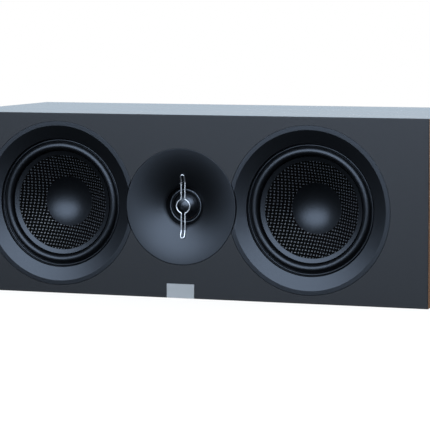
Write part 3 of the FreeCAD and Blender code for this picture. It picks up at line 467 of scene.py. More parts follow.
def baffle_paint(colour, roughness, gloss, reflection_tint):
    """Satin paint with a slight orange peel on the baffle's face, and the cabinet's wrap on its edges."""
    finish = Finish("baffle_paint")
    cloud = finish.noise(scale=9.0, detail=4.0)
    peel = finish.noise(scale=420.0, detail=2.0)
    speck = finish.noise(scale=2400.0, detail=1.0)
    paint = finish.mottle(0.7 * cloud + 0.3 * speck, colour, swing=0.07)
    satin = finish.vary(peel, roughness, swing=0.03)
    edge = outer_edges(finish, "front_baffle")
    face = 1.0 - edge
    wood, wood_roughness, _ = walnut_grain(finish)
    finish.relief(face * (0.6 * peel + 0.4 * speck), distance=0.00004)
    return finish.surface({
        "Base Color": finish.tint(edge, paint, wood),
        "Roughness": face * satin + edge * wood_roughness,
        "Specular IOR Level": gloss,
        "Specular Tint": reflection_tint,
        "Coat Weight": WRAP_COAT * edge,
        "Coat Roughness": WRAP_COAT_ROUGHNESS,
        "Coat IOR": WRAP_COAT_IOR,
    })


def soft_rubber(name, colour, roughness, gloss, reflection_tint):
    """Butyl rubber with a dry bloom."""
    finish = Finish(name)
    bloom = finish.noise(scale=60.0, detail=4.0)
    fine = finish.noise(scale=1900.0, detail=2.0)
    finish.relief(fine, distance=0.000015)
    return finish.surface({
        "Base Color": finish.mottle(bloom, colour, swing=0.12, span=NARROW_SPAN),
        "Roughness": finish.vary(fine, roughness, swing=0.03),
        "Specular IOR Level": gloss,
        "Specular Tint": reflection_tint,
    })


def woven_fibre():
    """Coated woven fibre: satin knots over gaps painted nearly black, a painted shade between the
    threads.
    """
    finish = Finish("woven_cone")
    height = finish.value("ShaderNodeAttribute", {"attribute_name": "thread_height"}, output="Fac")
    fibre = finish.noise(scale=3800.0, detail=1.0)
    knot_over_shaded_gap = finish.spread(height, low=0.83, high=0.98)
    finish.relief(fibre, distance=0.00003)
    return finish.surface({
        # Gaps between threads are painted near black and left without coat: painted shade on top of the
        # mesh's real pits
        "Base Color": finish.tint(knot_over_shaded_gap, WEAVE_GAP_PAINTED_SHADE, WEAVE_KNOT),
        "Roughness": finish.vary(fibre, 0.55, swing=0.05),
        "Specular IOR Level": 0.03,
        "Coat Weight": knot_over_shaded_gap,
        "Coat Roughness": 0.42,
        "Coat IOR": 1.75,
    })


def plain_cloth(name, dark, light, scale, roughness, depth=0.00006, gloss=0.3, reflection_tint=WHITE):
    """Fine plain weave of crossing threads."""
    finish = Finish(name)
    warp = finish.lines(scale, "X")
    weft = finish.lines(scale, "Z")
    threads = warp.most(weft)
    fuzz = finish.noise(scale=900.0, detail=2.0)
    finish.relief(0.8 * threads + 0.2 * fuzz, depth)
    return finish.surface({
        "Base Color": finish.tint(finish.spread(threads * fuzz, low=0.1, high=0.6), dark, light),
        "Roughness": finish.vary(fuzz, roughness, swing=0.05),
        "Specular IOR Level": gloss,
        "Specular Tint": reflection_tint,
    })


def felted_wool(name, dark, light):
    """Matted fibre padding."""
    finish = Finish(name)
    tuft = finish.noise(scale=130.0, detail=6.0, distortion=1.2)
    fibre = finish.noise(scale=1200.0, detail=3.0, stretch=(1.0, 0.25, 1.0), distortion=2.0)
    finish.relief(0.7 * tuft + 0.3 * fibre, distance=0.0012)
    return finish.surface({
        "Base Color": finish.tint(finish.spread(0.5 * tuft + 0.5 * fibre, *NARROW_SPAN), dark, light),
        "Roughness": finish.spread(fibre, *NOISE_SPAN, to_low=0.85, to_high=0.98),
        "Specular IOR Level": 0.2,
    })


def pressed_board(name, dark, light, roughness):
    """Pressed wood fibre with small flecks."""
    finish = Finish(name)
    fleck = finish.noise(scale=900.0, detail=4.0)
    patch = finish.noise(scale=26.0, detail=3.0)
    finish.relief(fleck, distance=0.00008)
    return finish.surface({
        "Base Color": finish.tint(finish.spread(0.6 * fleck + 0.4 * patch, *NARROW_SPAN), dark, light),
        "Roughness": finish.vary(fleck, roughness, swing=0.06),
        "Specular IOR Level": 0.25,
    })


def drawn_metal(name, colour, roughness, stretch=EVEN, scale=900.0):
    """Metal with fine drawing marks and patches of handling."""
    finish = Finish(name)
    mark = finish.noise(scale, detail=3.0, stretch=stretch)
    patch = finish.noise(scale=70.0, detail=3.0)
    finish.relief(mark, distance=0.000008)
    return finish.surface({
        "Base Color": finish.tint(finish.spread(patch, *NOISE_SPAN), shade(colour, 0.92), colour),
        "Metallic": 1.0,
        "Roughness": finish.vary(0.7 * mark + 0.3 * patch, roughness, swing=0.06),
    })


def ridged_metal(name, colour, roughness, scale, depth):
    """Turned metal or wound wire, ridged along the driver's or post's axis."""
    finish = Finish(name)
    ridge = finish.lines(scale, "Y")
    smear = finish.noise(scale=300.0, detail=3.0)
    finish.relief(ridge, depth)
    return finish.surface({
        "Base Color": finish.tint(finish.spread(ridge, low=0.0, high=0.6), shade(colour, 0.7), colour),
        "Metallic": 1.0,
        "Roughness": finish.spread(smear, *NOISE_SPAN, roughness - 0.05, roughness + 0.07),
    })


def fired_stone(name, colour):
    """Fired magnet stone or ceramic with a granular skin."""
    finish = Finish(name)
    grain = finish.noise(scale=1400.0, detail=5.0)
    finish.relief(grain, distance=0.00006)
    return finish.surface({
        "Base Color": finish.mottle(grain, colour, swing=0.3),
        "Roughness": finish.vary(grain, 0.65, swing=0.1),
        "Specular IOR Level": 0.4,
    })


# Finishes given a cool reflection tint carry a painted cool cast on their reflections, in place of part
# of the lamps' colour
finishes = {
    finish.name: finish
    for finish in (
        walnut_wrap(),
        baffle_paint(CHARCOAL, roughness=0.466, gloss=0.52, reflection_tint=PAINTED_PALE_COOL_REFLECTION),
        moulded_plastic("satin_plastic", INK, roughness=0.412, gloss=0.6, reflection_tint=PAINTED_COOL_REFLECTION),
        moulded_plastic("black_plastic", INK, 0.30, 0.5, grain=1300.0, depth=0.00001, reflection_tint=PAINTED_COOL_REFLECTION),
        moulded_plastic("throat_plastic", INK, roughness=0.40, gloss=0.2, reflection_tint=PAINTED_COOL_REFLECTION),
        soft_rubber("edge_rubber", INK, roughness=0.412, gloss=0.6, reflection_tint=PAINTED_COOL_REFLECTION),
        woven_fibre(),
        moulded_plastic("cap_plastic", INK, roughness=0.44, gloss=0.62, reflection_tint=PAINTED_COOL_REFLECTION),
        plain_cloth("dome_cloth", INK, CLOTH_LIGHT, 900.0, 0.32, depth=0.00001, gloss=0.8, reflection_tint=PAINTED_COOL_REFLECTION),
        plain_cloth("roll_cloth", INK, CLOTH_LIGHT, 900.0, 0.45, depth=0.00001, gloss=0.12, reflection_tint=PAINTED_COOL_REFLECTION),
        plain_cloth("spider_cloth", (0.30, 0.20, 0.08, 1.0), (0.62, 0.46, 0.22, 1.0), 420.0, 0.8),
        felted_wool("damping_wool", grey(0.42), grey(0.78)),
        pressed_board("raw_board", (0.26, 0.17, 0.095, 1.0), (0.44, 0.31, 0.19, 1.0), roughness=0.75),
        pressed_board("rear_board", grey(0.010), grey(0.022), roughness=0.55),
        drawn_metal("bright_wire", (0.80, 0.82, 0.86, 1.0), roughness=0.42),
        drawn_metal("brushed_plate", (0.46, 0.465, 0.47, 1.0), 0.48, (0.03, 1.0, 1.0), scale=2200.0),
        drawn_metal("plated_bead", (0.15, 0.17, 0.20, 1.0), roughness=0.40),
        drawn_metal("basket_steel", (0.06, 0.06, 0.065, 1.0), roughness=0.45),
        drawn_metal("zinc_steel", (0.62, 0.63, 0.62, 1.0), roughness=0.36),
        drawn_metal("dark_screw", (0.055, 0.055, 0.06, 1.0), roughness=0.36),
        fired_stone("ferrite", grey(0.05)),
        ridged_metal("copper_coil", (0.80, 0.36, 0.18, 1.0), roughness=0.3, scale=560.0, depth=0.0001),
        ridged_metal("gilt_brass", (0.92, 0.66, 0.27, 1.0), roughness=0.22, scale=330.0, depth=0.00006),
        moulded_plastic("red_knob", (0.42, 0.018, 0.015, 1.0), 0.3, gloss=0.5, grain=1500.0),
        moulded_plastic("black_knob", SOOT, 0.3, gloss=0.5, grain=1500.0),
        pressed_board("board_laminate", (0.30, 0.21, 0.09, 1.0), (0.40, 0.29, 0.14, 1.0), roughness=0.5),
        moulded_plastic("capacitor_film", (0.46, 0.37, 0.05, 1.0), 0.35, gloss=0.5, grain=300.0),
        fired_stone("resistor_body", grey(0.62)),
    )
}

for part in frame["record"]["subparts"]:
    node = frame["nodes"][part["node"]]
    node.data.materials.clear()
    node.data.materials.append(finishes[part["material_slot"]].material)


def mesh_of(name, bm):
    """Turns a bmesh into a mesh."""
    mesh = bpy.data.meshes.new(name)
    bm.to_mesh(mesh)
    bm.free()
    return mesh


def in_scene(name, data):
    """A new object in the scene."""
    made = bpy.data.objects.new(name, data)
    bpy.context.scene.collection.objects.link(made)
    return made


def keep_flat(piece):
    """Lets wide faces shade flat right up to their rounded edges."""
    piece.modifiers.new("keep_flat", "WEIGHTED_NORMAL").keep_sharp = True


def show(name, bm, slot, body, *replaced, finish=None):
    """Makes a finished piece of a mesh: welded, facing outwards, shaded and riding on its body."""
    bmesh.ops.remove_doubles(bm, verts=bm.verts, dist=WELD)
    bmesh.ops.recalc_face_normals(bm, faces=bm.faces)
    mesh = mesh_of(name, bm)
    mesh.materials.append(finishes[finish or slot].material)
    mesh.shade_smooth()
    mesh.set_sharp_from_angle(angle=CREASE)
    piece = in_scene(name, mesh)
    if replaced:
        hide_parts(*replaced)
    if body:
        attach(piece, body)
    keep_flat(piece)
    return piece


def rounded(bm, corners, radius, steps, affect):
    """Rounds corners or edges of a mesh."""
    bmesh.ops.bevel(
        bm,
        geom=corners,
        offset=radius,
        segments=steps,
        profile=0.5,
        affect=affect,
        material=-1,
    )


def spun(outline, steps, closed=True):
    """Mesh turned from an outline of (radius, depth) points. A third number rounds that corner."""
    bm = bmesh.new()
    points = [bm.verts.new((point[0], point[1], 0.0)) for point in outline]
    ends = points[1:] + points[:1] if closed else points[1:]
    for start, end in zip(points, ends):
        bm.edges.new((start, end))
    for point, corner in zip(points, outline):
        if len(corner) > 2:
            rounded(bm, [point], corner[2], CORNER_STEPS, "VERTICES")
    bmesh.ops.spin(
        bm,
        geom=bm.verts[:] + bm.edges[:],
        cent=(0.0, 0.0, 0.0),
        axis=(0.0, 1.0, 0.0),
        angle=FULL_TURN,
        steps=steps,
        use_merge=True,
    )
    return bm


def moved(bm, place):
    """Shifts a mesh to its place."""
    bmesh.ops.translate(bm, vec=place, verts=bm.verts)
    return bm


def upright(bm):
    """Turns a mesh that lies flat to face the front."""
    turn = Matrix.Rotation(QUARTER_TURN, 3, "X")
    bmesh.ops.rotate(bm, cent=(0, 0, 0), matrix=turn, verts=bm.verts)
    return bm


def on_axis(node):
    """Where a round solid's axis meets the baffle's front face."""
    return Vector((middle(node).x, FRONT, AXIS_Z))


def woofer_axis(side):
    """Where a woofer's axis meets the baffle's front face."""
    return on_axis(f"woofer_{side}_basket")


def round_arc(centre, radius, start, end, steps):
    """Points of an arc after its start, in (radius, depth), by angles from outwards towards the front."""
    points = []
    for step in range(1, steps + 1):
        angle = start + (end - start) * step / steps
        points.append((centre[0] + radius * math.cos(angle), centre[1] - radius * math.sin(angle)))
    return points


def flare_arc(start, angle, end, steps):
    """Points of the arc that leaves start inwards at an angle for end, and the angle it ends at."""
    across = start[0] - end[0]
    down = end[1] - start[1]
    chord_angle = math.atan2(down, across)
    end_angle = 2 * chord_angle - angle
    bend = math.hypot(across, down) / (2 * math.sin(chord_angle - angle))
    points = []
    for step in range(1, steps + 1):
        turn = angle + (end_angle - angle) * step / steps
        radius = start[0] - bend * (math.sin(turn) - math.sin(angle))
        points.append((radius, start[1] + bend * (math.cos(angle) - math.cos(turn))))
    return points, end_angle


def dish(radius, rim_depth, sag, wall, steps):
    """Outline of a shell whose centre lies deeper than its rim by sag; a negative sag makes a dome."""
    ball = (radius ** 2 + sag ** 2) / (2 * abs(sag))
    reach = math.asin(radius / ball)
    front = []
    for step in range(steps + 1):
        angle = reach * step / steps
        drop = sag - math.copysign(ball * (1 - math.cos(angle)), sag)
        front.append((ball * math.sin(angle), rim_depth + drop))
    return front + [(across, depth + wall) for across, depth in reversed(front)]


def cut_away(piece, bm):
    """Cuts the shape of a second mesh out of a piece."""
    cutter = in_scene("cutter", mesh_of("cutter", bm))
    cut = piece.modifiers.new("cut", "BOOLEAN")
    cut.operation = "DIFFERENCE"
    cut.solver = "EXACT"
    cut.object = cutter
    seen = bpy.context.evaluated_depsgraph_get()
    whole = piece.data
    piece.data = bpy.data.meshes.new_from_object(piece.evaluated_get(seen))
    piece.modifiers.clear()
    piece.data.name = whole.name
    bpy.data.objects.remove(cutter)
    bpy.data.meshes.remove(whole)
    piece.data.set_sharp_from_angle(angle=CREASE)
    keep_flat(piece)


def bend_by_radius(piece, axis, outer, inner):
    """Bakes a piece's placement into its mesh; the easing share it works out from each point's radius
    moves nothing.
    """
    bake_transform(piece)
    for point in piece.data.vertices:
        radius = math.hypot(point.co.x - axis.x, point.co.z - axis.z)
        share = min(1.0, max(0.0, (outer - radius) / (outer - inner)))
        share * share * (3 - 2 * share)


def trim_ring(side):
    """Snap-on ring with a bevelled face and a beaded lip, bitten by the tweeter's disc."""
    node = f"woofer_{side}_trim_ring"
    rim_inner = RING_OUTER - RING_RIM
    bevel_inner = rim_inner - BEVEL_WIDTH
    foot_outer = bevel_inner + RING_FOOT
    foot_depth = BEVEL_DEPTH * (rim_inner - foot_outer) / BEVEL_WIDTH + RING_SHELL
    lip_front = BEVEL_DEPTH + RING_WALL
    lip_back = lip_front + LIP_THICKNESS
    lip_inner = bevel_inner - LIP_REACH
    bead_middle = lip_inner + LIP_BEAD
    foot_back = back_depth(node)
    outline = [
        (RING_OUTER, 0.0, RIM_ROUND),
        (rim_inner, 0.0, EDGE_ROUND),
        (bevel_inner, BEVEL_DEPTH, EDGE_ROUND),
        (bevel_inner, lip_front),
        ((bevel_inner + bead_middle + LIP_BEAD) / 2, lip_front + LIP_GROOVE),
        (bead_middle + LIP_BEAD, lip_front),
    ]
    outline += round_arc((bead_middle, lip_front), LIP_BEAD, 0.0, HALF_TURN, ARC_STEPS)
    outline += [
        (lip_inner, lip_back),
        (bevel_inner, lip_back),
        (bevel_inner, foot_back),
        (foot_outer, foot_back),
        (foot_outer, foot_depth),
        (rim_inner, RING_SHELL),
        (RING_OUTER, RING_SHELL),
    ]
    bm = moved(spun(outline, RING_STEPS), woofer_axis(side))
    piece = show(f"woofer_{side}_trim", bm, "satin_plastic", "cabinet", node)
    radius = DISC_RADIUS + BITE_GAP
    cutter_length = 4 * foot_back
    bite = bmesh.new()
    bmesh.ops.create_cone(
        bite,
        cap_ends=True,
        segments=RING_STEPS,
        radius1=radius,
        radius2=radius,
        depth=cutter_length,
    )
    cut_away(piece, moved(upright(bite), on_axis("tweeter_waveguide")))


def band_depth(radius):
    """Depth of the front of the surround's band at a radius."""
    return SURROUND_FRONT + (ROLL_INNER - radius) * BAND_SLOPE


def woofer_surround(side):
    """Rubber edge with a half roll, a groove on either side of it and a band over the cone."""
    roll = ROLL_WIDTH / 2
    roll_middle = ROLL_OUTER - roll
    front = SURROUND_FRONT
    back = front + SURROUND_WALL
    floor = front + GROOVE_DEPTH
    band_outer = ROLL_INNER - GROOVE_WIDTH
    wall_inner = band_outer - SURROUND_WALL
    flange = ROLL_OUTER + SURROUND_FLANGE
    inner_roll = roll - SURROUND_WALL
    dip_outer = ROLL_OUTER + 2 * GROOVE_SHOULDER
    outline = [(flange, front), (dip_outer, front)]
    outline += [((dip_outer + ROLL_OUTER) / 2, front + GROOVE_DIP), (ROLL_OUTER, front)]
    outline += round_arc((roll_middle, front), roll, 0.0, HALF_TURN, ARC_STEPS)
    outline += [
        (ROLL_INNER, floor - GROOVE_SHOULDER),
        ((ROLL_INNER + band_outer) / 2, floor + GROOVE_DIP),
        (band_outer, floor - GROOVE_SHOULDER),
        (band_outer, band_depth(band_outer)),
        (BAND_INNER, band_depth(BAND_INNER), EDGE_ROUND),
        (BAND_INNER, band_depth(BAND_INNER) + SURROUND_WALL),
        (wall_inner, band_depth(wall_inner) + SURROUND_WALL),
        (wall_inner, floor + SURROUND_WALL),
        (roll_middle - inner_roll, floor + SURROUND_WALL),
        (roll_middle - inner_roll, back),
    ]
    outline += round_arc((roll_middle, back), inner_roll, HALF_TURN, 0.0, ARC_STEPS)
    outline += [(flange, back)]
    axis = woofer_axis(side)
    bm = moved(spun(outline, RING_STEPS), axis)
    piece = show(f"woofer_{side}_roll", bm, "edge_rubber", None, f"woofer_{side}_surround")
    bend_by_radius(piece, axis, ROLL_OUTER, ROLL_INNER)


def spider(side):
    """Corrugated cloth that centres the coil, with round waves between its glued edges."""
    node = f"woofer_{side}_spider"
    front = back_depth(node) - SPIDER_WALL
    first = SPIDER_INNER + SPIDER_GLUE / 2
    last = SPIDER_OUTER - SPIDER_GLUE
    steps = SPIDER_WAVE_COUNT * ARC_STEPS
    top = [(SPIDER_INNER, front)]
    for step in range(steps + 1):
        share = step / steps
        rise = SPIDER_WAVE * (1 - math.cos(FULL_TURN * SPIDER_WAVE_COUNT * share)) / 2
        top.append((first + (last - first) * share, front - rise))
    top.append((SPIDER_OUTER, front))
    outline = top + [(radius, depth + SPIDER_WALL) for radius, depth in reversed(top)]
    axis = woofer_axis(side)
    bm = moved(spun(outline, SMALL_STEPS), axis)
    piece = show(f"woofer_{side}_corrugation", bm, "spider_cloth", None, node)
    bend_by_radius(piece, axis, last, first)


def thread_height(x, z):
    """Height of a plain weave at a place, from 0 in its gaps to 1 on its knots."""
    drift = noise.noise_vector(Vector((x, 0.0, z)) * WANDER_SCALE) * THREAD_WANDER
    turn_x, turn_z = math.cos(WEAVE_TURN), math.sin(WEAVE_TURN)
    across = (x * turn_x - z * turn_z + drift.x) / THREAD_PITCH
    up = (z * turn_x + x * turn_z + drift.z) / THREAD_PITCH
    from_warp = across - round(across)
    from_weft = up - round(up)
    over = 1 if (round(across) + round(up)) % 2 else -1
    heights = [0.0]
    for offset, along, sign in ((from_warp, from_weft, over), (from_weft, from_warp, -over)):
        if abs(offset) < THREAD_HALF_WIDTH:
            crown = math.sqrt(1 - (offset / THREAD_HALF_WIDTH) ** 2)
            heights.append(THREAD_RISE * crown + THREAD_WAVE * (1 + sign * math.cos(HALF_TURN * along)))
    return max(heights) / WEAVE_HEIGHT


def cone_skin(side):
    """Woven face of the cone between the surround's band and the dust cap."""
    rim_depth = band_depth(BAND_INNER) + SURROUND_WALL + SEAT_GAP
    outer = BAND_INNER - SKIN_MARGIN
    inner = CAP_RADIUS + SKIN_MARGIN
    cell = THREAD_PITCH / CELLS_PER_THREAD
    cells = math.ceil(outer / cell) + 1
    bm = bmesh.new()
    bmesh.ops.create_grid(bm, x_segments=2 * cells, y_segments=2 * cells, size=cells * cell)
    upright(bm)
    stray = [face for face in bm.faces if not inner < math.hypot(*face.calc_center_median().xz) < outer]
    bmesh.ops.delete(bm, geom=stray, context="FACES")
    heights = bm.verts.layers.float.new("thread_height")
    for point in bm.verts:
        radius = math.hypot(point.co.x, point.co.z)
        if point.is_boundary:
            rim = outer if radius > (inner + outer) / 2 else inner
            point.co *= rim / radius
            radius = rim
        point[heights] = thread_height(point.co.x, point.co.z)
        lift = SKIN_LIFT + point[heights] * WEAVE_HEIGHT
        point.co.y = rim_depth + (BAND_INNER - radius) * CONE_SLOPE - lift
    hem = bmesh.ops.extrude_edge_only(bm, edges=[edge for edge in bm.edges if edge.is_boundary])
    for point in hem["geom"]:
        if isinstance(point, bmesh.types.BMVert):
            point.co.y += SKIN_LIFT + WEAVE_HEIGHT
    bm = moved(bm, woofer_axis(side))
    show(f"woofer_{side}_weave", bm, "woven_cone", f"woofer_{side}_diaphragm")


def dust_cap(side):
    """Dished cap in the middle of the cone."""
    node = f"woofer_{side}_dust_cap"
    outline = dish(CAP_RADIUS, front_depth(node), CAP_SAG, CAP_WALL, ARC_STEPS)
    bm = moved(spun(outline, SMALL_STEPS, closed=False), woofer_axis(side))
    show(f"woofer_{side}_cap", bm, "cap_plastic", f"woofer_{side}_diaphragm", node)


def flare():
    """Front of the waveguide and of its face ring, as one run from the disc's edge to the dome."""
    run = [(DISC_RADIUS, 0.0)]
    angle = RIM_ANGLE
    for end in (SHOULDER, THROAT_LIP, MOUTH):
        arc, angle = flare_arc(run[-1], angle, end, ARC_STEPS)
        run += arc
    return run


def run_between(run, outer, inner):
    """Part of a run between two radii."""
    part = []
    for start, end in zip(run, run[1:]):
        for limit in (outer, inner):
            if start[0] > limit > end[0]:
                share = (start[0] - limit) / (start[0] - end[0])
                part.append((limit, start[1] + share * (end[1] - start[1])))
        if outer >= end[0] >= inner:
            part.append(end)
    return part


def waveguide():
    """Flared round faceplate of the tweeter, with a skirt behind it."""
    skirt_inner = SKIRT_RADIUS - SKIRT_WALL
    shell_back = SHOULDER[1] + GUIDE_BACK_WALL
    spigot_back = DISC_RIM + SPIGOT_DEPTH
    outline = [(DISC_RADIUS, 0.0, DISC_ROUND)] + run_between(flare(), DISC_RADIUS, THROAT_RADIUS)
    outline += [
        (THROAT_RADIUS, DOME_BASE),
        (THROAT_RADIUS + THROAT_WALL, DOME_BASE),
        (SHOULDER[0], shell_back),
        (skirt_inner, shell_back),
        (skirt_inner, GUIDE_BACK),
        (SKIRT_RADIUS, GUIDE_BACK),
        (SKIRT_RADIUS, spigot_back),
        (SPIGOT_RADIUS, spigot_back),
        (SPIGOT_RADIUS, DISC_RIM),
        (DISC_RADIUS, DISC_RIM),
    ]
    bm = moved(spun(outline, RING_STEPS), on_axis("tweeter_waveguide"))
    show("tweeter_flare", bm, "satin_plastic", "cabinet", "tweeter_waveguide")


def tweeter_dome():
    """Cloth dome and the half roll round it."""
    axis = on_axis("tweeter_waveguide")
    outline = dish(DOME_RADIUS, DOME_BASE, -DOME_RISE, DOME_WALL, ARC_STEPS)
    bm = moved(spun(outline, SMALL_STEPS, closed=False), axis)
    show("tweeter_diaphragm_dome", bm, "dome_cloth", "tweeter_diaphragm", "tweeter_dome")
    roll_inner = DOME_RADIUS + SEAT_GAP
    roll_outer = roll_inner + DOME_ROLL
    roll_middle = (roll_inner + roll_outer) / 2
    inner_roll = DOME_ROLL / 2 - DOME_SURROUND_WALL
    back = DOME_BASE + DOME_SURROUND_WALL
    flange = roll_outer + FACE_RING_BEAD
    outline = [(flange, DOME_BASE), (roll_outer, DOME_BASE)]
    outline += round_arc((roll_middle, DOME_BASE), DOME_ROLL / 2, 0.0, HALF_TURN, ARC_STEPS)
    outline += [(roll_inner, back), (roll_middle - inner_roll, back)]
    outline += round_arc((roll_middle, back), inner_roll, HALF_TURN, 0.0, ARC_STEPS)
    outline += [(flange, back)]
    bm = moved(spun(outline, SMALL_STEPS), axis)
    piece = show("tweeter_roll", bm, "dome_cloth", None, "tweeter_surround", finish="roll_cloth")
    bend_by_radius(piece, axis, roll_outer, roll_inner)


def face_ring():
    """Ring that carries the flare on to the dome, with a plated bead along its edge."""
    outer = THROAT_RADIUS - FACE_RING_FIT
    step_radius = outer - FACE_RING_STEP
    bead = FACE_RING_BEAD / 2
    lip_back = DOME_BASE - SEAT_GAP
    ring_back = back_depth("tweeter_face_ring")
    axis = on_axis("tweeter_waveguide")
    outline = run_between(flare(), outer, MOUTH[0])
    outline += [
        (MOUTH[0], lip_back),
        (step_radius, lip_back),
        (step_radius, ring_back),
        (outer, ring_back),
    ]
    bm = moved(spun(outline, SMALL_STEPS), axis)
    node = "tweeter_face_ring"
    show("tweeter_edge_ring", bm, "black_plastic", "cabinet", node, finish="throat_plastic")
    outline = [MOUTH]
    outline += round_arc((FACE_RING_INNER + bead, MOUTH_DEPTH), bead, 0.0, HALF_TURN, ARC_STEPS)
    outline += [(FACE_RING_INNER, lip_back), (MOUTH[0], lip_back)]
    bm = moved(spun(outline, SMALL_STEPS), axis)
    show("tweeter_edge_bead", bm, "black_plastic", "cabinet", finish="plated_bead")


def badge_plate():
    """Small bare plate with softened edges."""
    low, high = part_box("badge_plate")
    bm = bmesh.new()
    bmesh.ops.create_cube(bm, size=1.0)
    bmesh.ops.scale(bm, vec=high - low, verts=bm.verts)
    rounded(bm, bm.edges[:], BADGE_ROUND, BADGE_STEPS, "EDGES")
    show("badge", moved(bm, (low + high) / 2), "brushed_plate", "cabinet", "badge_plate")


def port(side):
    """Flared bass port in the rear panel, turned facing forwards and then mirrored."""
    mouth = PORT_BORE + PORT_FLARE
    face = PORT_FLANGE_THICKNESS
    tube_outer = PORT_BORE + PORT_WALL
    outline = [(PORT_FLANGE, -face, FLANGE_ROUND), (mouth, -face)]
    outline += round_arc((mouth, PORT_FLARE - face), PORT_FLARE, QUARTER_TURN, HALF_TURN, ARC_STEPS)
    outline += [
        (PORT_BORE, PORT_LENGTH - face),
        (tube_outer, PORT_LENGTH - face),
        (tube_outer, PORT_FLARE),
        (mouth, PORT_FLARE),
        (mouth, 0.0),
        (PORT_FLANGE, 0.0),
    ]
    bm = spun(outline, SMALL_STEPS)
    bmesh.ops.scale(bm, vec=(1.0, -1.0, 1.0), verts=bm.verts)
    place = (middle(f"port_{side}").x, REAR, AXIS_Z)
    show(f"port_{side}_duct", moved(bm, place), "black_plastic", "cabinet", f"port_{side}")


def add_screw(screws, place):
    """Adds a pan-head screw whose head sits at a place."""
    outline = [
        (0.0, PAN_HEAD_HEIGHT),
        (PAN_HEAD_RADIUS, PAN_HEAD_HEIGHT, PAN_HEAD_HEIGHT / 2),
        (PAN_HEAD_RADIUS, 0.0),
        (PAN_SHANK_RADIUS, 0.0),
        (PAN_SHANK_RADIUS, -PAN_SHANK_LENGTH),
        (0.0, -PAN_SHANK_LENGTH),
    ]
    screw = moved(spun(outline, SCREW_STEPS, closed=False), place)
    mesh = mesh_of("screw", screw)
    screws.from_mesh(mesh)
    bpy.data.meshes.remove(mesh)


def add_slot(crosses, place, turn):
    """Adds one bar of the cross that is cut into a screw's head."""
    top = place + Vector((0.0, PAN_HEAD_HEIGHT, 0.0))
    size = Matrix.Diagonal((RECESS_LENGTH, 2 * RECESS_DEPTH, RECESS_WIDTH, 1.0))
    matrix = Matrix.Translation(top) @ Matrix.Rotation(turn, 4, "Y") @ size
    bmesh.ops.create_cube(crosses, size=1.0, matrix=matrix)


def cup_screws():
    """Pan-head screws with a cross recess, at the corners of the terminal cup."""
    low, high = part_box("cup_screws")
    centre = (low + high) / 2
    reach_x = (high.x - low.x) / 2 - PAN_HEAD_RADIUS
    reach_z = (high.z - low.z) / 2 - PAN_HEAD_RADIUS
    seat = high.y - PAN_HEAD_HEIGHT
    screws = bmesh.new()
    crosses = bmesh.new()
    for side_x in (-1, 1):
        for side_z in (-1, 1):
            place = Vector((centre.x + side_x * reach_x, seat, centre.z + side_z * reach_z))
            add_screw(screws, place)
            for turn in (0.0, QUARTER_TURN):
                add_slot(crosses, place, turn)
    piece = show("cup_corner_screws", screws, "dark_screw", "cabinet", "cup_screws")
    cut_away(piece, crosses)


noise.seed_set(WANDER_SEED)
for side in SIDES:
    trim_ring(side)
    woofer_surround(side)
    spider(side)
    cone_skin(side)
    dust_cap(side)
    port(side)
waveguide()
tweeter_dome()
face_ring()
badge_plate()
cup_screws()


def rays(nodes, kind):
    """1 on rays of a kind, 0 on others."""
    return Value(nodes, nodes.node("ShaderNodeLightPath").outputs[kind])


def seen_white(nodes):
    """1 where the camera, a reflection or clear material looks, 0 for soft light."""
    camera = rays(nodes, "Is Camera Ray")
    return camera.most(rays(nodes, "Is Glossy Ray")).most(rays(nodes, "Is Transmission Ray"))


def studio_floor():
    """White floor that glows where it is seen and lights the speaker from below a little."""
    bm = bmesh.new()
    bmesh.ops.create_grid(bm, x_segments=1, y_segments=1, size=FLOOR_SIZE / 2)
    mesh = mesh_of("studio_floor", bm)
    finish = Finish("studio_floor")
    seen = seen_white(finish)
    away = finish.value("ShaderNodeVectorMath", {"operation": "LENGTH"}, {0: finish.place()}, "Value")
    white = finish.spread(away, *FLOOR_FADE, FLOOR_WHITE, 1.0)
    paint = finish.tint(seen, FLOOR_BOUNCE, FLOOR_PALE)
    matt = finish.value("ShaderNodeBsdfDiffuse", None, {"Color": paint})
    glow = finish.value("ShaderNodeEmission", None, {"Color": WHITE, "Strength": 1.0})
    mixed = finish.value("ShaderNodeMixShader", None, {0: white * seen, 1: matt, 2: glow})
    finish.feed(finish.tree.nodes["Material Output"].inputs["Surface"], mixed)
    mesh.materials.append(finish.material)
    floor = in_scene("studio_floor", mesh)


def studio_world():
    """White surroundings to look at, and a dim cool light from all round."""
    world = bpy.data.worlds.new("studio")
    world.use_nodes = True
    nodes = Nodes(world.node_tree)
    dim = {"Color": WORLD_COLOUR, "Strength": WORLD_STRENGTH}
    fill = nodes.value("ShaderNodeBackground", None, dim)
    backdrop = nodes.tint(rays(nodes, "Is Glossy Ray"), WHITE, BACKDROP)
    white = nodes.value("ShaderNodeBackground", None, {"Color": backdrop, "Strength": 1.0})
    mixed = nodes.value("ShaderNodeMixShader", None, {0: seen_white(nodes), 1: fill, 2: white})
    nodes.feed(world.node_tree.nodes["World Output"].inputs["Surface"], mixed)
    bpy.context.scene.world = world


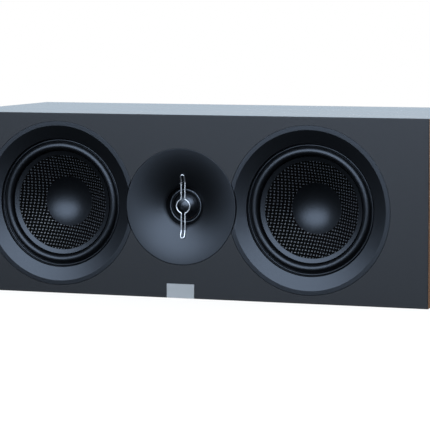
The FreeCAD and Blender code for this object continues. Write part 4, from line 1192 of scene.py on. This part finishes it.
def softbox(name, swing, rise, size, power, colour):
    """Wide lamp that faces the speaker from a direction counted from straight in front."""
    light = bpy.data.lights.new(name, "AREA")
    light.shape = "ELLIPSE"
    light.size, light.size_y = size
    light.energy = power
    light.color = colour
    lamp = in_scene(name, light)
    toward = Vector((math.sin(swing), -math.cos(swing), math.tan(rise))).normalized()
    lamp.location = LIGHT_AIM + LIGHT_DISTANCE * toward
    lamp.rotation_euler = (-toward).to_track_quat("-Z", "Y").to_euler()
    lamp.visible_camera = False
    return lamp


def dark_room():
    """Black room, open at the back, that only reflections meet: the unlit part of a studio."""
    bm = bmesh.new()
    bmesh.ops.create_cube(bm, size=1.0)
    bmesh.ops.scale(bm, vec=ROOM_HIGH - ROOM_LOW, verts=bm.verts)
    moved(bm, (ROOM_LOW + ROOM_HIGH) / 2)
    open_side = [face for face in bm.faces if face.calc_center_median().y > ROOM_HIGH.y - WELD]
    bmesh.ops.delete(bm, geom=open_side, context="FACES")
    mesh = mesh_of("dark_room", bm)
    finish = Finish("dark_room")
    matt = finish.value("ShaderNodeBsdfDiffuse", None, {"Color": BLACK})
    finish.feed(finish.tree.nodes["Material Output"].inputs["Surface"], matt)
    mesh.materials.append(finish.material)
    room = in_scene("dark_room", mesh)
    room.visible_camera = False
    room.visible_diffuse = False
    room.visible_transmission = False
    room.visible_shadow = False


def photo_camera():
    """Camera at the place that the photograph was taken from."""
    lens = bpy.data.cameras.new("photo_camera")
    lens.lens = CAMERA_LENS
    lens.sensor_width = CAMERA_SENSOR
    lens.sensor_fit = "HORIZONTAL"
    lens.shift_x, lens.shift_y = CAMERA_SHIFT
    camera = in_scene("photo_camera", lens)
    camera.location = CAMERA_PLACE
    aim = Euler((QUARTER_TURN - CAMERA_PITCH, 0.0, CAMERA_YAW)).to_matrix()
    camera.rotation_euler = (aim @ Matrix.Rotation(CAMERA_ROLL, 3, "Z")).to_euler()
    bpy.context.scene.camera = camera


studio_floor()
studio_world()
softbox("front_box", LIGHT_SWING, LIGHT_RISE, LIGHT_SIZE, LIGHT_POWER, LIGHT_COLOUR)
for swing in FILL_SWINGS:
    softbox("fill_box", swing, FILL_RISE, FILL_SIZE, FILL_POWER, WHITE[:3]).visible_glossy = False
dark_room()
photo_camera()
bpy.context.scene.view_settings.view_transform = "Standard"
